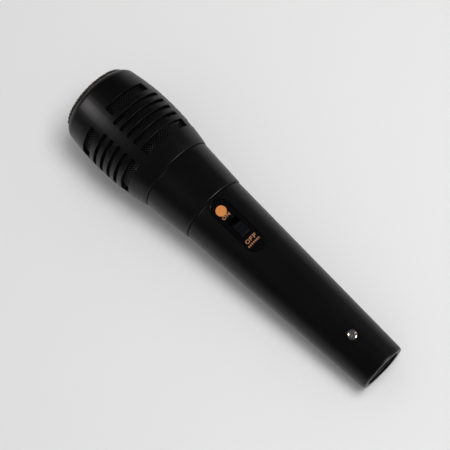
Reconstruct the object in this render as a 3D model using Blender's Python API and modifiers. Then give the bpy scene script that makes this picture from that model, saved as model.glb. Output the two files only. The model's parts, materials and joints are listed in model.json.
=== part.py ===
"""Hand-held dynamic microphone, lying at rest on its tail and its barrel-shaped head.

Every piece is built in the microphone's own frame: Z runs along the axis, from the tail's end face
at 0 to the head, and +X is the side of the switch. The empty "assembly" lays that frame down, so
that the tail points along +X, the switch faces up and the floor is at height 0.
"""

import math

import bmesh
import bpy
from mathutils import Matrix, Vector

MM = 0.001

# Clearances and facets
GAP = 0.3 * MM                 # left between pieces that touch
SEGMENTS = 40                  # facets round the outer pieces; a multiple of 4
LINING_SEGMENTS = 32           # facets round the meshes and the foam
SMALL_SEGMENTS = 24            # facets round the capsule's pieces
FINE_SEGMENTS = 12             # facets round pins, screws and holes
REACH = 40 * MM                # how far a cutter runs past what it cuts

# Capsule, from which the radii of the neck and the head follow
CAPSULE_RADIUS = 15.5 * MM
CAPSULE_LENGTH = 26.0 * MM     # housing alone
HOUSING_WALL = 1.5 * MM
HOUSING_FLOOR = 1.5 * MM
VENT_RADIUS = 4.0 * MM
CHAMBER_LENGTH = 5.0 * MM      # air space behind the magnet
CHAMBER_LEDGE = 2.0 * MM
YOKE_LENGTH = 11.0 * MM
YOKE_WALL = 2.3 * MM
YOKE_FLOOR = 2.0 * MM
COIL_GAP = 0.6 * MM            # air on each side of the coil
COIL_WALL = 1.0 * MM
COIL_LENGTH = 6.0 * MM
COIL_TRAVEL = 0.25 * MM        # each way
MAGNET_SETBACK = 1.0 * MM      # how much narrower the magnet is than its pole piece
POLE_LENGTH = 2.4 * MM
DIAPHRAGM_WALL = 0.4 * MM
DIAPHRAGM_DOME = 3.6 * MM
DIAPHRAGM_ROLL = 0.9 * MM
RING_WIDTH = 1.3 * MM
RING_LENGTH = 4.9 * MM
CAP_THICKNESS = 3.2 * MM
CAP_FACE = 1.4 * MM
FELT_THICKNESS = 1.5 * MM
BOARD_THICKNESS = 1.2 * MM
TAB_LENGTH = 5.0 * MM
TAB_OFFSET = 7.0 * MM

# Rubber mount and its lock ring
MOUNT_WALL = 2.9 * MM
MOUNT_LIP = 5.4 * MM           # thickness of the lip that the capsule stands on
MOUNT_LIP_WIDTH = 2.5 * MM
LOCK_RING_LENGTH = 2.0 * MM

# Neck collar
COLLAR_LENGTH = 29.7 * MM
COLLAR_FLARE = 2.45 * MM       # how much the radius grows over that length
COLLAR_WALL = 2.2 * MM
COLLAR_WEB = 2.2 * MM
LEDGE_DEPTH = 8.4 * MM         # from the collar's front to the ledge under the mount
THREAD_WALL = 1.7 * MM
THREAD_LENGTH = 6.8 * MM
PLUG_LENGTH = 6.0 * MM         # the part that enters the handle
PLUG_WALL = 2.0 * MM
NECK_STEP = 0.45 * MM          # step in radius at each seam
SEAM_CHAMFER = 0.5 * MM

# Head
CAGE_BASE_WALL = 3.15 * MM
CAGE_WALL = 2.2 * MM
HEAD_LENGTH = 65.1 * MM
HEAD_SWELL = 3.8 * MM          # widest radius, less the radius at the base
BARREL_HEIGHT = 35.3 * MM      # from the base to the widest place
SHOULDER_LENGTH = 4.8 * MM
SHOULDER_DROP = 2.1 * MM       # widest radius, less the radius where the shoulder starts
SHOULDER_FULLNESS = 1.8        # 2 is a quarter ellipse
FRONT_LIP = 3.6 * MM           # from the shoulder's start in to the front flat
LIP_FLAT = 0.5 * MM
LIP_LENGTH = 2.0 * MM
SOCKET_CLEARANCE = 0.8 * MM    # past the end of the thread
THREAD_PITCH = 2.0 * MM
HEAD_RISE = 3 * THREAD_PITCH    # travel of the head along its thread
COLUMNS = 4
RIB_ANGLE = math.radians(-23)  # from the switch to the middle of the nearest rib
SLOT_HALF_SPAN = math.radians(37.4)
TOP_WINDOW_HALF_SPAN = math.radians(31.2)
SLOTS = 4
SLOT_HEIGHT = 2.35 * MM
SLOT_PITCH = 5.37 * MM
SLOT_START = 22.3 * MM         # from the base to the middle of the first slot
LOW_WINDOW_HEIGHT = 5.6 * MM
LOW_WINDOW_PLACE = 15.1 * MM
TOP_WINDOW_HEIGHT = 5.9 * MM
TOP_WINDOW_PLACE = 45.8 * MM
MESH_WALL = 0.8 * MM
MESH_FLANGE = 1.8 * MM
DOME_HEIGHT = 4.8 * MM
DOME_DROP = 0.8 * MM           # the dome's foot lies this far below the front lip
DOME_FULLNESS = 2.7
CLAMP_RING_LENGTH = 3.0 * MM
CLAMP_RING_WIDTH = 2.4 * MM
FOAM_WALL = 3.0 * MM

# Handle
HANDLE_LENGTH = 130.4 * MM
HANDLE_WALL = 2.2 * MM
MOUTH_WALL = 2.3 * MM
TAIL_ROUND = 2.2 * MM
TAIL_FACE_INSET = 1.1 * MM
TAIL_WALL = 2.4 * MM
TAIL_FLANGE = 3.0 * MM
BORE_RUNOUT = 5.0 * MM

# Three-pin connector in the tail, of the standard size
CAVITY_RADIUS = 9.6 * MM
CAVITY_DEPTH = 13.8 * MM
INSERT_RECESS = 1.2 * MM       # from the tail's face to the connector's rim
INSERT_RIM_WALL = 1.6 * MM
INSERT_WALL = 2.7 * MM
INSERT_LENGTH = 25.1 * MM
SEPTUM = 3.0 * MM
BACK_WALL = 1.5 * MM
PINS = 3
PIN_RADIUS = 1.2 * MM
PIN_CIRCLE = 4.1 * MM
PIN_SETBACK = 3.4 * MM
PIN_TAIL = 3.0 * MM
KEYWAY_WIDTH = 2.4 * MM
KEYWAY_DEPTH = 0.9 * MM
BOSS_WIDTH = 7.0 * MM
BOSS_FOOT = 5.2 * MM           # from the axis to the boss
LUG_THICKNESS = 0.6 * MM
LUG_WIDTH = 4.0 * MM
LUG_FOOT = 2.4 * MM

# Screw near the tail
TAIL_SCREW_PLACE = 23.0 * MM
TAIL_SCREW_HEAD = 2.95 * MM
TAIL_SCREW_HEIGHT = 1.5 * MM
TAIL_SCREW_SHANK = 1.45 * MM
TAIL_SCREW_LENGTH = 8.5 * MM
TAIL_SCREW_SINK = 1.1 * MM     # the head's seat, below the handle's surface
HEAD_MARGIN = 0.35 * MM

# Steel sleeve that gives the handle its weight
SLEEVE_LENGTH = 30.0 * MM
SLEEVE_WALL = 2.4 * MM

# Switch
PLATE_LENGTH = 37.8 * MM
PLATE_SETBACK = PLATE_LENGTH / 2 + 1.7 * MM     # from the handle's mouth to the plate's middle
PLATE_WIDTH = 11.2 * MM
PLATE_THICKNESS = 0.8 * MM
PLATE_SINK = 0.2 * MM
SLOT_LENGTH = 12.4 * MM
SLOT_WIDTH = 6.4 * MM
KNOB_LENGTH = 7.6 * MM
KNOB_TRAVEL = 4.0 * MM
KNOB_RISE = 0.8 * MM           # above the handle's surface
KNOB_GROOVES = 4
KNOB_GROOVE_PITCH = 1.05 * MM
KNOB_GROOVE_WIDTH = 0.5 * MM
KNOB_GROOVE_DEPTH = 0.45 * MM
POST_LENGTH = 3.0 * MM
POST_WIDTH = 2.0 * MM
POST_ENTRY = 2.0 * MM          # how far the slider's post enters the knob
SLIDER_LENGTH = 11.0 * MM
SLIDER_HEIGHT = 2.4 * MM
SLIDER_WIDTH = 8.0 * MM
SLIDER_SLACK = 1.0 * MM
PAD_DEPTH = 1.6 * MM           # thickening inside the handle that the switch is screwed to
PAD_WIDTH = 12.0 * MM
PAD_MARGIN = 2.0 * MM
FRAME_WALL = 0.8 * MM
EAR_LENGTH = 4.0 * MM
EAR_WIDTH = 6.0 * MM
BRIDGE_THICKNESS = 0.5 * MM
BRIDGE_WIDTH = 3.0 * MM
BASE_THICKNESS = 1.2 * MM
TERMINALS = 3
TERMINAL_PITCH = 5.0 * MM
TERMINAL_LENGTH = 4.4 * MM
TERMINAL_WIDTH = 1.2 * MM
TERMINAL_THICKNESS = 0.5 * MM
SWITCH_SCREW_HEAD = 1.6 * MM
SWITCH_SCREW_HEIGHT = 0.9 * MM
SWITCH_SCREW_SHANK = 0.8 * MM
SWITCH_SCREW_REACH = 1.6 * MM  # past the frame's ear

# Leads
LEAD_RADIUS = 0.6 * MM
LEAD_STEPS = 4                 # points on each stretch of a lead

# Radii that follow from the capsule
MOUNT_RADIUS = CAPSULE_RADIUS + GAP + MOUNT_WALL
THREAD_BORE = MOUNT_RADIUS + GAP
THREAD_RADIUS = THREAD_BORE + THREAD_WALL
CAGE_SOCKET = THREAD_RADIUS + GAP
CAGE_BASE_RADIUS = CAGE_SOCKET + CAGE_BASE_WALL
HEAD_RADIUS = CAGE_BASE_RADIUS + HEAD_SWELL
SHOULDER_RADIUS = HEAD_RADIUS - SHOULDER_DROP
FRONT_RADIUS = SHOULDER_RADIUS - FRONT_LIP
OPENING_RADIUS = FRONT_RADIUS - LIP_FLAT
COLLAR_FRONT_RADIUS = CAGE_BASE_RADIUS - NECK_STEP
COLLAR_REAR_RADIUS = COLLAR_FRONT_RADIUS - COLLAR_FLARE
MOUTH_RADIUS = COLLAR_REAR_RADIUS - NECK_STEP
MOUTH_BORE = MOUTH_RADIUS - MOUTH_WALL
PLUG_RADIUS = MOUTH_BORE - GAP
PLUG_BORE = PLUG_RADIUS - PLUG_WALL

# Radii that follow from the connector
INSERT_RIM_RADIUS = CAVITY_RADIUS + INSERT_RIM_WALL
TAIL_BORE = INSERT_RIM_RADIUS + GAP
INSERT_RADIUS = CAVITY_RADIUS + INSERT_WALL
INSERT_BORE = INSERT_RADIUS + GAP
TAIL_RADIUS = INSERT_BORE + TAIL_WALL
TAIL_FACE_RADIUS = TAIL_RADIUS - TAIL_FACE_INSET

# Heights along the axis
COLLAR_REAR = HANDLE_LENGTH + GAP
COLLAR_FRONT = COLLAR_REAR + COLLAR_LENGTH
HEAD_BASE = COLLAR_FRONT + GAP
HEAD_FRONT = HEAD_BASE + HEAD_LENGTH
BARREL_TOP = HEAD_BASE + BARREL_HEIGHT
SHOULDER_BASE = HEAD_FRONT - SHOULDER_LENGTH
LIP_BACK = HEAD_FRONT - LIP_LENGTH
THREAD_END = COLLAR_FRONT + THREAD_LENGTH
CAGE_STEP = THREAD_END + SOCKET_CLEARANCE
DOME_FOOT = HEAD_FRONT - DOME_DROP
FLANGE_FRONT = LIP_BACK - GAP
FLANGE_BACK = FLANGE_FRONT - MESH_WALL
CLAMP_FRONT = FLANGE_BACK - GAP
CLAMP_BACK = CLAMP_FRONT - CLAMP_RING_LENGTH
SLEEVE_MESH_FRONT = CLAMP_BACK - GAP
SLEEVE_MESH_BACK = CAGE_STEP + GAP
LEDGE = COLLAR_FRONT - LEDGE_DEPTH
MOUNT_BACK = LEDGE + GAP
CAPSULE_BACK = MOUNT_BACK + MOUNT_LIP + GAP
CAPSULE_FRONT = CAPSULE_BACK + CAPSULE_LENGTH
MOUNT_FRONT = THREAD_END - LOCK_RING_LENGTH / 2 - GAP
YOKE_BACK = CAPSULE_BACK + HOUSING_FLOOR + CHAMBER_LENGTH + GAP
YOKE_FRONT = YOKE_BACK + YOKE_LENGTH
RING_BACK = YOKE_FRONT + GAP
RING_FRONT = RING_BACK + RING_LENGTH
INSERT_FRONT = INSERT_RECESS
INSERT_BACK = INSERT_RECESS + INSERT_LENGTH
SEPTUM_FRONT = INSERT_FRONT + CAVITY_DEPTH
SEPTUM_BACK = SEPTUM_FRONT + SEPTUM
PLATE_PLACE = HANDLE_LENGTH - PLATE_SETBACK
SLOT_PLACE = PLATE_PLACE - 1.1 * MM
KNOB_PLACE = SLOT_PLACE - KNOB_TRAVEL / 2

# The switch's levels, measured from the axis towards +X
HOUSING_BORE = CAPSULE_RADIUS - HOUSING_WALL
FRAME_HALF_LENGTH = (SLIDER_LENGTH + KNOB_TRAVEL) / 2 + SLIDER_SLACK + FRAME_WALL
FRAME_REACH = FRAME_HALF_LENGTH + EAR_LENGTH
SCREW_SPACING = FRAME_HALF_LENGTH + EAR_LENGTH / 2


def handle_radius(height):
    """Outer radius of the tapered handle."""
    share = (height - TAIL_ROUND) / (HANDLE_LENGTH - TAIL_ROUND)
    return TAIL_RADIUS + (MOUTH_RADIUS - TAIL_RADIUS) * share


def barrel_radius(height):
    """Outer radius of the head: it swells from the base and draws in again to the shoulder."""
    if height < BARREL_TOP:
        share = (BARREL_TOP - height) / BARREL_HEIGHT
        return HEAD_RADIUS - HEAD_SWELL * share ** 2
    share = (height - BARREL_TOP) / (SHOULDER_BASE - BARREL_TOP)
    return HEAD_RADIUS - SHOULDER_DROP * share ** 2


def barrel_line(start, end, inset, steps=7):
    """Points (radius, height) on the head's outline between two heights, a wall's depth inside it."""
    heights = [start + (end - start) * i / steps for i in range(steps + 1)]
    return [(barrel_radius(z) - inset, z) for z in heights]


def rounded(start, end, fullness, steps=5):
    """A quarter of a superellipse: it leaves start along the axis and reaches end across it."""
    points = []
    for i in range(steps + 1):
        angle = math.pi / 2 * i / steps
        across = abs(math.cos(angle)) ** (2 / fullness)
        along = abs(math.sin(angle)) ** (2 / fullness)
        points.append((end[0] + (start[0] - end[0]) * across, start[1] + (end[1] - start[1]) * along))
    return points


PAD_FACE = handle_radius(PLATE_PLACE - PLATE_LENGTH / 2) - HANDLE_WALL - PAD_DEPTH
FRAME_TOP = PAD_FACE - GAP
SLIDER_TOP = FRAME_TOP - FRAME_WALL - GAP
SLIDER_FOOT = SLIDER_TOP - SLIDER_HEIGHT
BRIDGE_TOP = SLIDER_FOOT - GAP
BASE_TOP = BRIDGE_TOP - BRIDGE_THICKNESS - GAP
BASE_FOOT = BASE_TOP - BASE_THICKNESS
KNOB_TOP = handle_radius(SLOT_PLACE) + KNOB_RISE
KNOB_FOOT = FRAME_TOP + GAP


# Scene and materials

def clear_scene():
    for item in list(bpy.data.objects):
        bpy.data.objects.remove(item)


def collection(name):
    made = bpy.data.collections.new(name)
    bpy.context.scene.collection.children.link(made)
    return made


def material(name, colour, roughness, metallic=0.0):
    made = bpy.data.materials.new(name)
    made.use_nodes = True
    shader = made.node_tree.nodes["Principled BSDF"]
    shader.inputs["Base Color"].default_value = (*colour, 1)
    shader.inputs["Roughness"].default_value = roughness
    shader.inputs["Metallic"].default_value = metallic
    return made


def resting_tilt():
    """Angle of the axis to the floor, with the tail's corner and the barrel both touching it."""
    line = barrel_line(HEAD_BASE, SHOULDER_BASE, 0)
    return max(math.atan2(r - TAIL_RADIUS, z - TAIL_ROUND) for r, z in line)


def make_assembly():
    """The empty that every piece hangs from. Its origin is the middle of the tail's end face."""
    tilt = resting_tilt()
    empty = bpy.data.objects.new("assembly", None)
    bpy.context.scene.collection.objects.link(empty)
    along = (DOME_FOOT + DOME_HEIGHT) * math.cos(tilt) - TAIL_FACE_RADIUS * math.sin(tilt)
    lift = TAIL_RADIUS * math.cos(tilt) - TAIL_ROUND * math.sin(tilt)
    empty.location = (along / 2, 0, lift)
    empty.rotation_euler = (0, tilt - math.pi / 2, 0)
    return empty


def place(name, mesh, look=None, at=(0, 0, 0)):
    """A piece, or with no look a cutter, at a place in the microphone's frame."""
    made = bpy.data.objects.new(name, mesh)
    made.parent = ASSEMBLY
    made.location = at
    if look is None:
        CUTTERS.objects.link(made)
        made.hide_render = True
        made.display_type = "WIRE"
    else:
        PARTS.objects.link(made)
        mesh.materials.clear()
        mesh.materials.append(look)
    return made


# Shapes

def signed_area(points):
    pairs = zip(points, points[1:] + points[:1])
    return sum(a[0] * b[1] - b[0] * a[1] for a, b in pairs) / 2


def turned(name, profile, look=None, at=0.0, steps=SEGMENTS):
    """An outline of (radius, height) points turned about the axis, with its origin at a height.

    The outline is closed, unless it starts and ends on the axis.
    """
    points = list(profile)
    if signed_area(points) > 0:
        points.reverse()
    on_axis = [i for i, point in enumerate(points) if point[0] == 0]
    closed = not on_axis
    if on_axis:
        first = next(i for i in on_axis if points[i - 1][0] == 0)
        points = points[first:] + points[:first]
    mesh = bpy.data.meshes.new(name)
    edges = [(i, i + 1) for i in range(len(points) - 1)]
    if closed:
        edges.append((len(points) - 1, 0))
    mesh.from_pydata([(r, 0, z - at) for r, z in points], edges, [])
    made = place(name, mesh, look, (0, 0, at))
    screw = made.modifiers.new("turn", "SCREW")
    screw.axis = "Z"
    screw.steps = steps
    screw.render_steps = steps
    screw.use_merge_vertices = True
    screw.merge_threshold = 0.00001
    screw.use_smooth_shade = True
    return made


def block(name, size, look=None, at=(0, 0, 0)):
    """A box with its middle at a place; size is along X, Y and Z."""
    work = bmesh.new()
    bmesh.ops.create_cube(work, size=1.0, matrix=Matrix.Diagonal((*size, 1)))
    return finish(work, name, look, at)


def rod(name, radius, length, look=None, at=(0, 0, 0), axis="Z", steps=FINE_SEGMENTS):
    """A round bar with its middle at a place, along X or Z."""
    work = bmesh.new()
    turn = Matrix.Rotation(math.pi / 2, 4, "Y") if axis == "X" else Matrix.Identity(4)
    bmesh.ops.create_cone(
        work, cap_ends=True, segments=steps, radius1=radius, radius2=radius, depth=length, matrix=turn
    )
    return finish(work, name, look, at)


def finish(work, name, look, at):
    mesh = bpy.data.meshes.new(name)
    work.to_mesh(mesh)
    work.free()
    return place(name, mesh, look, at)


def mesh_of(curve_object):
    """The closed mesh of a curve object, which is removed."""
    depsgraph = bpy.context.evaluated_depsgraph_get()
    mesh = bpy.data.meshes.new_from_object(curve_object.evaluated_get(depsgraph))
    matrix = curve_object.matrix_world.copy()
    bpy.data.objects.remove(curve_object)
    work = bmesh.new()
    work.from_mesh(mesh)
    bmesh.ops.remove_doubles(work, verts=work.verts, dist=0.00001)
    bmesh.ops.recalc_face_normals(work, faces=work.faces)
    work.transform(matrix)
    work.to_mesh(mesh)
    work.free()
    return mesh


def curve_object(points, cyclic, dimensions):
    curve = bpy.data.curves.new("outline", "CURVE")
    curve.dimensions = dimensions
    spline = curve.splines.new("POLY")
    spline.points.add(len(points) - 1)
    for control, point in zip(spline.points, points):
        control.co = (*point, 1)
    spline.use_cyclic_u = cyclic
    made = bpy.data.objects.new("outline", curve)
    bpy.context.scene.collection.objects.link(made)
    return made


def slab(outline, thickness, turn=None):
    """Mesh of a flat outline of (x, y) points, with its thickness centred on the XY plane."""
    made = curve_object([(x, y, 0) for x, y in outline], True, "2D")
    made.data.fill_mode = "BOTH"
    made.data.extrude = thickness / 2
    if turn:
        made.matrix_world = turn
        bpy.context.view_layer.update()
    return mesh_of(made)


def cut(piece, *cutters, operation="DIFFERENCE"):
    for cutter in cutters:
        boolean = piece.modifiers.new(cutter.name, "BOOLEAN")
        boolean.operation = operation
        boolean.solver = "EXACT"
        boolean.object = cutter
    return piece


def joined(name, pieces):
    """Several cutters that stay clear of each other, as one."""
    work = bmesh.new()
    for piece in pieces:
        before = set(work.verts)
        work.from_mesh(piece.data)
        new = [v for v in work.verts if v not in before]
        bmesh.ops.transform(work, matrix=piece.matrix_basis, verts=new)
        bpy.data.objects.remove(piece)
    return finish(work, name, None, (0, 0, 0))


def stadium(length, width, steps=8):
    """Outline with round ends, its length along X."""
    straight = (length - width) / 2
    points = []
    for side in (1, -1):
        for i in range(steps + 1):
            angle = math.pi * i / steps - math.pi / 2
            points.append((side * (straight + math.cos(angle) * width / 2), side * math.sin(angle) * width / 2))
    return points


def sector(inner, outer, half_span, steps=6):
    """Outline of a piece of a ring, centred on the X axis."""
    angles = [half_span * (2 * i / steps - 1) for i in range(steps + 1)]
    outside = [(outer * math.cos(a), outer * math.sin(a)) for a in angles]
    inside = [(inner * math.cos(a), inner * math.sin(a)) for a in reversed(angles)]
    return outside + inside


def smooth_path(points):
    """Points on a smooth curve that passes through the given ones."""
    ends = [points[0] * 2 - points[1], *points, points[-1] * 2 - points[-2]]
    path = []
    for a, b, c, d in zip(ends, ends[1:], ends[2:], ends[3:]):
        for i in range(LEAD_STEPS):
            t = i / LEAD_STEPS
            path.append((2 * b + (c - a) * t + (2 * a - 5 * b + 4 * c - d) * t ** 2
                         + (3 * b - a - 3 * c + d) * t ** 3) / 2)
    return path + [points[-1]]


# Handle and neck

def surface_shell(name, length, width, low, high, look=None):
    """The part of the handle's skin under an oval: from low to high below or above its surface."""
    ends = [PLATE_PLACE - PLATE_LENGTH, PLATE_PLACE + PLATE_LENGTH]
    outer = [(handle_radius(z) + high, z) for z in reversed(ends)]
    inner = [(handle_radius(z) + low, z) for z in ends]
    shell = turned(name, outer + inner, look, PLATE_PLACE)
    lying = Matrix.Rotation(math.pi / 2, 4, "Y")
    outline = stadium(length, width)
    prism = place(name + "_outline", slab(outline, REACH, lying), None, (REACH / 2 + BASE_FOOT, 0, PLATE_PLACE))
    return cut(shell, prism, operation="INTERSECT")


def make_handle():
    """Tapered tube with a flanged tail, a recess for the switch plate and a pad for the switch."""
    tail = rounded((TAIL_RADIUS, TAIL_ROUND), (TAIL_FACE_RADIUS, 0), 2, 3)
    bore_end = INSERT_BACK + 2 * MM
    taper_start = bore_end + BORE_RUNOUT
    socket = HANDLE_LENGTH - PLUG_LENGTH - GAP
    profile = [
        (MOUTH_RADIUS - SEAM_CHAMFER, HANDLE_LENGTH),
        (handle_radius(HANDLE_LENGTH - SEAM_CHAMFER), HANDLE_LENGTH - SEAM_CHAMFER),
        *tail,
        (TAIL_BORE, 0),
        (TAIL_BORE, TAIL_FLANGE),
        (INSERT_BORE, TAIL_FLANGE),
        (INSERT_BORE, bore_end),
        (handle_radius(taper_start) - HANDLE_WALL, taper_start),
        (handle_radius(socket) - HANDLE_WALL, socket),
        (MOUTH_BORE, socket),
        (MOUTH_BORE, HANDLE_LENGTH),
    ]
    handle = turned("handle", profile, BLACK_PLASTIC)
    cut(handle, make_pad(), operation="UNION")
    recess = surface_shell("plate_recess", PLATE_LENGTH + 2 * GAP, PLATE_WIDTH + 2 * GAP,
                           -PLATE_SINK - PLATE_THICKNESS - GAP, REACH / 4)
    cut(handle, recess, knob_opening("handle_slot"))
    for side in (-1, 1):
        cut(handle, *switch_screw_holes(side))
    seat = tail_screw_seat()
    counterbore = rod("tail_screw_seat", TAIL_SCREW_HEAD + HEAD_MARGIN, REACH, None,
                      (seat + REACH / 2, 0, TAIL_SCREW_PLACE), "X", 2 * FINE_SEGMENTS)
    cut(handle, counterbore, tail_screw_hole("handle_screw_hole"))


def make_pad():
    """Thickening on the inside of the handle, kept within its wall by a cone."""
    half = FRAME_REACH + PAD_MARGIN
    pad = block("switch_pad", (REACH, PAD_WIDTH, 2 * half), None, (PAD_FACE + REACH / 2, 0, SLOT_PLACE))
    ends = [SLOT_PLACE - 2 * half, SLOT_PLACE + 2 * half]
    sink = PLATE_SINK + PLATE_THICKNESS
    cone = turned("pad_limit", [(0, ends[1]), (handle_radius(ends[1]) - sink, ends[1]),
                                (handle_radius(ends[0]) - sink, ends[0]), (0, ends[0])])
    end = HANDLE_LENGTH - PLUG_LENGTH - GAP
    trim = block("pad_trim", (REACH, REACH, REACH), None, (PAD_FACE, 0, end + REACH / 2))
    return cut(cut(pad, cone, operation="INTERSECT"), trim)


def knob_opening(name):
    return block(name, (REACH, SLOT_WIDTH, SLOT_LENGTH), None, (PAD_FACE + REACH / 2 - 2 * MM, 0, SLOT_PLACE))


def switch_screw_seat(side):
    """Level of the seat under a switch screw's head, which the plate hides."""
    skin = handle_radius(SLOT_PLACE + side * SCREW_SPACING - SWITCH_SCREW_HEAD)
    return skin - PLATE_SINK - PLATE_THICKNESS - GAP - SWITCH_SCREW_HEIGHT - GAP


def switch_screw_holes(side):
    along = SLOT_PLACE + side * SCREW_SPACING
    seat = switch_screw_seat(side)
    tag = "front" if side > 0 else "rear"
    counterbore = rod("switch_seat_" + tag, SWITCH_SCREW_HEAD + GAP, REACH, None,
                      (seat + REACH / 2, 0, along), "X")
    hole = rod("switch_hole_" + tag, SWITCH_SCREW_SHANK + GAP, REACH / 2, None, (seat, 0, along), "X")
    return counterbore, hole


def tail_screw_seat():
    return handle_radius(TAIL_SCREW_PLACE) - TAIL_SCREW_SINK - GAP


def tail_screw_hole(name):
    centre = tail_screw_seat()
    return rod(name, TAIL_SCREW_SHANK + GAP, 2 * (centre - BOSS_FOOT) + 2 * MM, None,
               (centre, 0, TAIL_SCREW_PLACE), "X")


def make_collar():
    """Conical ring: a plug into the handle behind, a thread for the head in front."""
    rear_inner = COLLAR_REAR + COLLAR_WALL
    front_inner = LEDGE - COLLAR_WEB

    def skin(height):
        return COLLAR_REAR_RADIUS + COLLAR_FLARE * (height - COLLAR_REAR) / COLLAR_LENGTH

    profile = [
        (THREAD_RADIUS - SEAM_CHAMFER, THREAD_END),
        (THREAD_RADIUS, THREAD_END - SEAM_CHAMFER),
        (THREAD_RADIUS, COLLAR_FRONT),
        (COLLAR_FRONT_RADIUS - SEAM_CHAMFER, COLLAR_FRONT),
        (skin(COLLAR_FRONT - SEAM_CHAMFER), COLLAR_FRONT - SEAM_CHAMFER),
        (skin(COLLAR_REAR + SEAM_CHAMFER), COLLAR_REAR + SEAM_CHAMFER),
        (COLLAR_REAR_RADIUS - SEAM_CHAMFER, COLLAR_REAR),
        (PLUG_RADIUS, COLLAR_REAR),
        (PLUG_RADIUS, HANDLE_LENGTH - PLUG_LENGTH),
        (PLUG_BORE, HANDLE_LENGTH - PLUG_LENGTH),
        (PLUG_BORE, rear_inner),
        (skin(rear_inner + COLLAR_FLARE) - COLLAR_WALL, rear_inner + COLLAR_FLARE),
        (skin(front_inner) - COLLAR_WALL, front_inner),
        (MOUNT_RADIUS - MOUNT_LIP_WIDTH, front_inner),
        (MOUNT_RADIUS - MOUNT_LIP_WIDTH, LEDGE),
        (THREAD_BORE, LEDGE),
        (THREAD_BORE, THREAD_END),
    ]
    turned("neck_collar", profile, BLACK_PLASTIC, COLLAR_REAR)


# Head

def make_cage():
    """Barrel-shaped moulding with four columns of windows, open at the front."""
    shoulder = rounded((SHOULDER_RADIUS, SHOULDER_BASE), (FRONT_RADIUS, HEAD_FRONT), SHOULDER_FULLNESS)
    outside = barrel_line(HEAD_BASE, SHOULDER_BASE, 0)[1:-1] + shoulder
    inside = barrel_line(CAGE_STEP, CLAMP_BACK, CAGE_WALL, 5)
    pocket = clamp_pocket()
    profile = [
        (CAGE_BASE_RADIUS - SEAM_CHAMFER, HEAD_BASE),
        (barrel_radius(HEAD_BASE + SEAM_CHAMFER), HEAD_BASE + SEAM_CHAMFER),
        *outside,
        (OPENING_RADIUS, HEAD_FRONT),
        (OPENING_RADIUS, LIP_BACK),
        (pocket, LIP_BACK),
        *reversed(inside),
        (CAGE_SOCKET, CAGE_STEP),
        (CAGE_SOCKET, HEAD_BASE),
    ]
    cage = turned("head_cage", profile, BLACK_PLASTIC, HEAD_BASE)
    cut(cage, make_windows())


def clamp_pocket():
    """Radius of the pocket behind the front lip, for the mesh's flange and the clamp ring."""
    return OPENING_RADIUS + MESH_FLANGE + GAP


def make_windows():
    rows = [(LOW_WINDOW_PLACE, LOW_WINDOW_HEIGHT, SLOT_HALF_SPAN)]
    rows += [(SLOT_START + i * SLOT_PITCH, SLOT_HEIGHT, SLOT_HALF_SPAN) for i in range(SLOTS)]
    rows += [(TOP_WINDOW_PLACE, TOP_WINDOW_HEIGHT, TOP_WINDOW_HALF_SPAN)]
    inner = CAGE_SOCKET - MESH_WALL
    outer = HEAD_RADIUS + REACH / 4
    openings = []
    for column in range(COLUMNS):
        middle = RIB_ANGLE + (column + 0.5) * 2 * math.pi / COLUMNS
        for along, height, half_span in rows:
            mesh = slab(sector(inner, outer, half_span), height, Matrix.Rotation(middle, 4, "Z"))
            openings.append(place("window", mesh, None, (0, 0, HEAD_BASE + along)))
    return joined("windows", openings)


def make_side_mesh():
    """Sleeve of woven wire, against the inside of the cage."""
    outside = barrel_line(SLEEVE_MESH_BACK, SLEEVE_MESH_FRONT, CAGE_WALL + GAP, 5)
    inside = barrel_line(SLEEVE_MESH_FRONT, SLEEVE_MESH_BACK, CAGE_WALL + GAP + MESH_WALL, 5)
    turned("side_mesh", outside + inside, WIRE, HEAD_BASE, LINING_SEGMENTS)


def dome_line(inset, steps=5):
    """Outline of the front dome, or of a shell inside it, from its foot to the axis."""
    radius = OPENING_RADIUS - GAP - inset
    return rounded((radius, DOME_FOOT), (0, DOME_FOOT + DOME_HEIGHT - inset), DOME_FULLNESS, steps)


def make_front_mesh():
    """Domed wire mesh whose flange is held behind the cage's front lip."""
    radius = OPENING_RADIUS - GAP
    flange = OPENING_RADIUS + MESH_FLANGE
    profile = [
        *reversed(dome_line(0)[:-1]),
        (radius, FLANGE_FRONT),
        (flange, FLANGE_FRONT),
        (flange, FLANGE_BACK),
        (radius - MESH_WALL, FLANGE_BACK),
        *dome_line(MESH_WALL)[:-1],
        (0, DOME_FOOT + DOME_HEIGHT - MESH_WALL),
        (0, DOME_FOOT + DOME_HEIGHT),
    ]
    turned("front_mesh", profile, WIRE, HEAD_FRONT, LINING_SEGMENTS)


def make_clamp_ring():
    outer = OPENING_RADIUS + MESH_FLANGE
    inner = outer - CLAMP_RING_WIDTH
    profile = [(outer, CLAMP_FRONT), (outer, CLAMP_BACK), (inner, CLAMP_BACK), (inner, CLAMP_FRONT)]
    turned("clamp_ring", profile, GREY_PLASTIC, CLAMP_BACK, LINING_SEGMENTS)


def slack(line, inset):
    """A line drawn in far enough to stay clear as the barrel rises past it on the thread."""
    return [(min(r, barrel_radius(z - HEAD_RISE) - inset), z) for r, z in line]


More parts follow.
